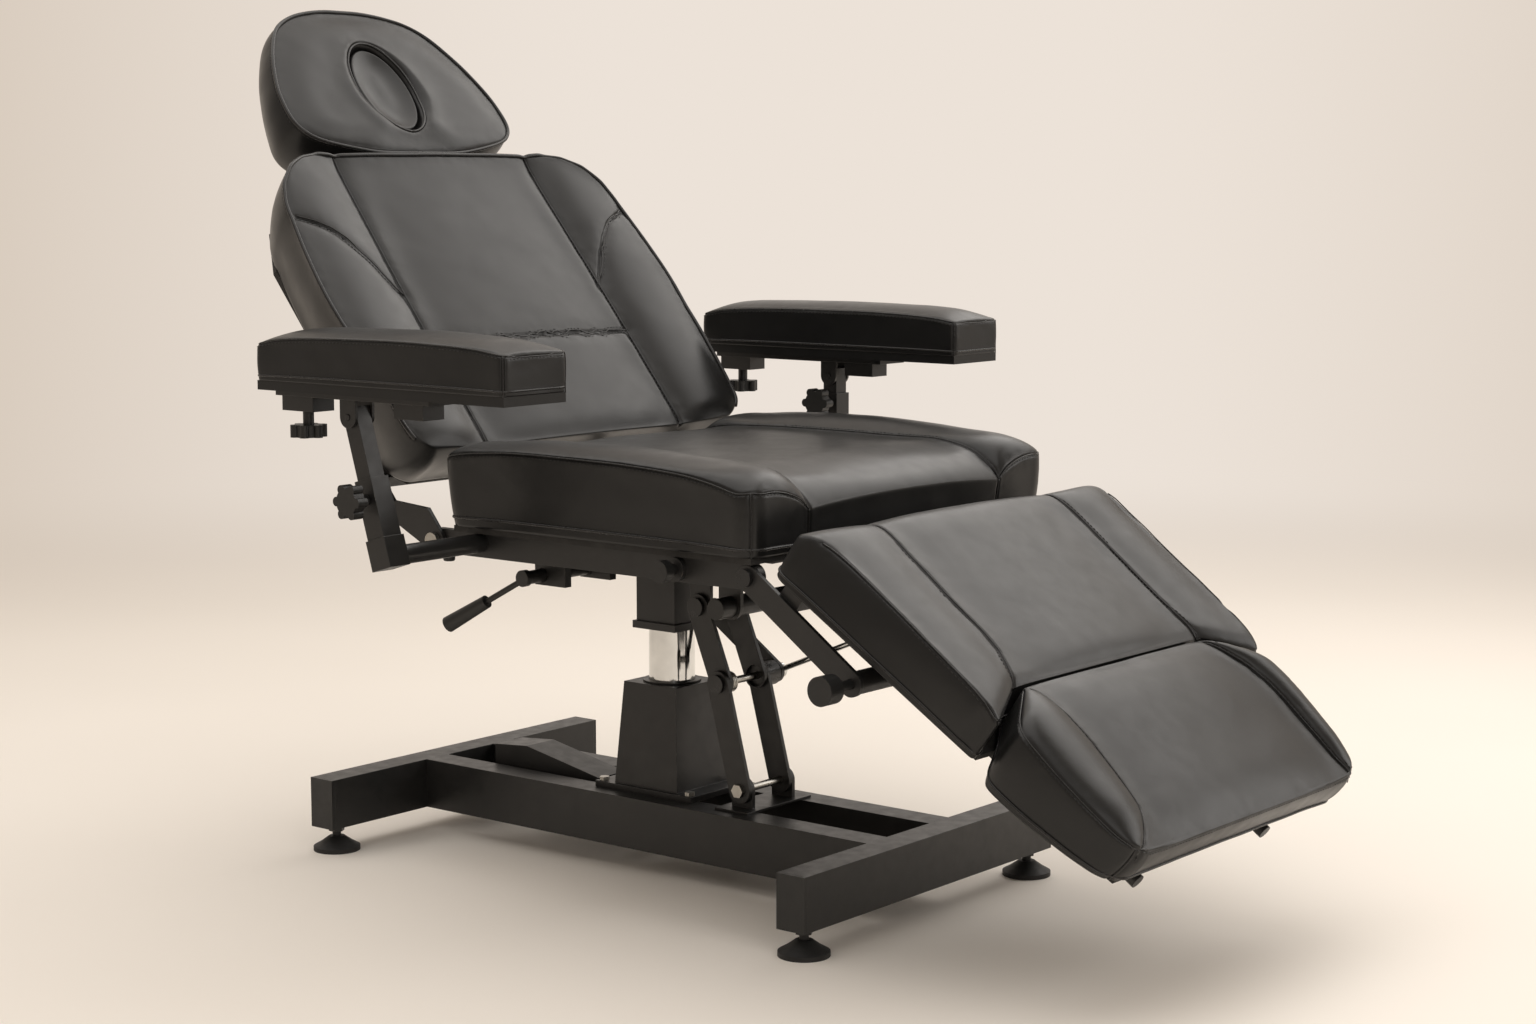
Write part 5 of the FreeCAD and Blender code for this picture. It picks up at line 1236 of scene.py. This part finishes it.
def calf_height(along, across):
    inner = np.where(across < 0, smooth(CALF_NEAR_SEAM)(along), smooth(CALF_FAR_SEAM)(along))
    reach = np.abs(across)
    side = across_panel(reach, inner, np.where(across < 0, 300.0, 316.0))
    start, end = CALF_ENDS
    falling = smooth(((31, 92), (38, 99), (50, 105), (80, 108), (300, 108), (345, 106), (360, 103),
                      (371, 99)))(along)
    bolster = 4.0 * side + 9.0 * arch(side, 0.62) * puff((along - start) / 40.0)
    centre = 9.0 * crown(reach / inner, 0.65)
    fade = puff((end - along) / 50.0)
    return falling + np.where(reach > inner, bolster, centre) * (0.3 + 0.7 * fade)


def calf_bulge(edge):
    at_end = (edge[:, 0] > CALF_ENDS[1] - 26) | (edge[:, 0] < CALF_ENDS[0] + 4)
    return np.where(at_end, 1.2, 5.0)


def make_calf():
    near = smooth(((31, 322), (45, 310), (74, 301), (110, 298), (200, 297), (371, 297)))
    far = smooth(((31, 322), (60, 324), (200, 317), (371, 301)))
    low_near = smooth(((36, 325), (371, 292)))
    low_far = smooth(((36, 321), (371, 294)))
    form = grid_form(CALF_ENDS, near, far, calf_height, (36, 370.5), low_near, low_far, steady(44.0),
                     corners=(20, 10), inner=(smooth(CALF_NEAR_SEAM), smooth(CALF_FAR_SEAM)),
                     bulge=calf_bulge, warp=calf_warp)

    def sewn(along, across):
        return (along > CALF_ENDS[0] + 24) & ((along < NOTCH_DEEP - 2) | (np.abs(across) > NOTCH_INNER - 4))

    seams = [Seam("rim", depth=2.4, keep=sewn), Seam("base", depth=0, stitch=0, welt=1.8)]
    for points, sign in ((CALF_NEAR_SEAM, -1), (CALF_FAR_SEAM, 1)):
        line = np.array([(s, sign * y) for s, y in points])
        line[:, 0] = calf_warp(line[:, 0], line[:, 1])
        seams.append(Seam(points=line, depth=3.2))
    cushion("calf_cushion", LEG, form, "leg_rest", seams, seed=53)


# Foot cushion

FOOT_ENDS = (328.0, 575.0)
BOARD_CLEAR = 380.0
TONGUE_LOW = 46.4
BOARD_LOW = ((379, 21.3), (575, 40.3))
FOOT_SIDE = ((328, 203), (341, 222), (354, 241), (367, 260), (377, 274), (386, 282), (400, 287), (430, 288),
             (500, 283), (550, 272), (575, 262))
FOOT_NEAR_SEAM = ((328, 198), (336, 197), (351, 190), (387, 185), (433, 186), (485, 191), (524, 199),
                  (551, 222), (565, 240), (575, 256))
FOOT_FAR_SEAM = ((328, 198), (341, 206), (357, 216), (385, 232), (420, 241), (449, 243), (506, 240),
                 (549, 240), (575, 250))


def foot_height(along, across):
    inner = np.where(across < 0, smooth(FOOT_NEAR_SEAM)(along), smooth(FOOT_FAR_SEAM)(along))
    reach = np.abs(across)
    outer = smooth(FOOT_SIDE)(along)
    side = across_panel(reach, inner, np.maximum(outer, inner + 6.0))
    line = smooth(((328, 103), (334, 107), (348, 110), (380, 110), (470, 104), (560, 95), (575, 92)))(along)
    start = puff((along - FOOT_ENDS[0]) / 60.0)
    end = puff((FOOT_ENDS[1] - along) / 60.0)
    width = np.clip((outer - inner) / 90.0, 0, 1) ** 0.5
    bolster = 15.0 * width * arch(side, 0.55)
    centre = 13.0 * crown(reach / inner, 0.55)
    return line + np.where(reach > inner, bolster, centre) * end * (0.25 + 0.75 * start)


def foot_low(along):
    return np.where(along < BOARD_CLEAR, TONGUE_LOW, np.interp(along, *zip(*BOARD_LOW)))


def foot_bulge(edge):
    return np.where(edge[:, 0] < FOOT_ENDS[0] + 46, 0.8, 5.0)


def make_foot():
    side = smooth(FOOT_SIDE)
    low_side = smooth([(s, y - 6) for s, y in FOOT_SIDE])
    form = grid_form(FOOT_ENDS, side, side, foot_height, (329, 568), low_side, low_side, foot_low,
                     corners=(10, 24), inner=(smooth(FOOT_NEAR_SEAM), smooth(FOOT_FAR_SEAM)),
                     bulge=foot_bulge, strips=True)
    seams = [Seam("rim", depth=2.4, keep=lambda along, across: along > FOOT_ENDS[0] + 6),
             Seam("base", depth=0, stitch=0, welt=1.8)]
    for points, sign in ((FOOT_NEAR_SEAM, -1), (FOOT_FAR_SEAM, 1)):
        seams.append(Seam(points=[(s, sign * y) for s, y in points], depth=3.2))
        seams.append(Seam("wall", (572, sign * 258), depth=2.2, stitch=0))
    cushion("foot_cushion", LEG, form, "foot_rest", seams, seed=67)


# Arm cushions

ARM_FRONT = 185.0
ARM_HALF_WIDTH = 55.0


def make_arm(side, rear, centre_y, seed):
    ends = (rear + 1.0, ARM_FRONT)
    edge = smooth(((rear, 44), (rear + 38, 50), (rear + 100, 54), (rear + 180, 55.5), (8, 56), (84, 54.5),
                   (140, 51.5), (ARM_FRONT, 47)))

    def height(along, across):
        swell = puff((along - ends[0]) / 48.0) * puff((ends[1] - along) / 48.0)
        return edge(along) + 16.0 * crown(across / (ARM_HALF_WIDTH + 1), 0.62) * swell

    wall, low_wall = steady(ARM_HALF_WIDTH), steady(ARM_HALF_WIDTH - 0.5)
    form = grid_form(ends, wall, wall, height, (rear + 1.5, ARM_FRONT - 0.5), low_wall, low_wall, steady(0.0),
                     corners=(9, 8), bulge=2.0)
    seams = [Seam("rim", depth=2.0), Seam("base", depth=0, stitch=0, welt=1.5)]
    seams += [Seam("wall", (ARM_FRONT - 1, sign * (ARM_HALF_WIDTH - 2)), depth=1.8, stitch=0)
              for sign in (-1, 1)]
    cushion(side + "_arm_cushion", level(COLUMN_X, centre_y, PAD_BASE), form, side + "_arm_pad", seams,
            cap=3.0, pucker=0.25, seed=seed)


# Rubber buffers under the rear ends of the seat rails

BUFFER_X = -231.0
BUFFER_Y = 288.0
RAIL_BOTTOM = PIVOT_Z - 16.0
BUFFER_SIDES = 40
BUFFER_PROFILE = ((0.0, 0.0), (6.6, 0.0), (7.4, -0.4), (7.8, -1.4), (8.0, -5.5), (7.8, -9.2), (7.2, -10.6),
                  (6.0, -11.2), (3.4, -11.0), (2.4, -10.0), (0.0, -9.8))


def make_buffers():
    vertices, faces = [], []
    for sign in (-1, 1):
        rings = []
        for radius, height in BUFFER_PROFILE:
            turns = [2 * math.pi * k / BUFFER_SIDES for k in range(BUFFER_SIDES if radius else 1)]
            rings.append(list(range(len(vertices), len(vertices) + len(turns))))
            vertices += [((BUFFER_X + radius * math.cos(turn)) * MM,
                          (sign * BUFFER_Y + radius * math.sin(turn)) * MM,
                          (RAIL_BOTTOM + height) * MM) for turn in turns]
        for upper, lower in zip(rings[1:-2], rings[2:-1]):
            faces += ring_faces(upper, lower)
        for k in range(BUFFER_SIDES):
            faces.append((rings[0][0], rings[1][k - 1], rings[1][k]))
            faces.append((rings[-1][0], rings[-2][k], rings[-2][k - 1]))
    piece = mesh_object("rail_buffers", vertices, faces, RUBBER)
    close_foot(piece)
    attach(piece, "seat_carriage")


make_buffers()
make_seat()
make_back()
make_head()
make_plug()
make_calf()
make_foot()
make_arm("right", -250.0, -ARM_Y, 71)
make_arm("left", -285.0, ARM_Y, 83)
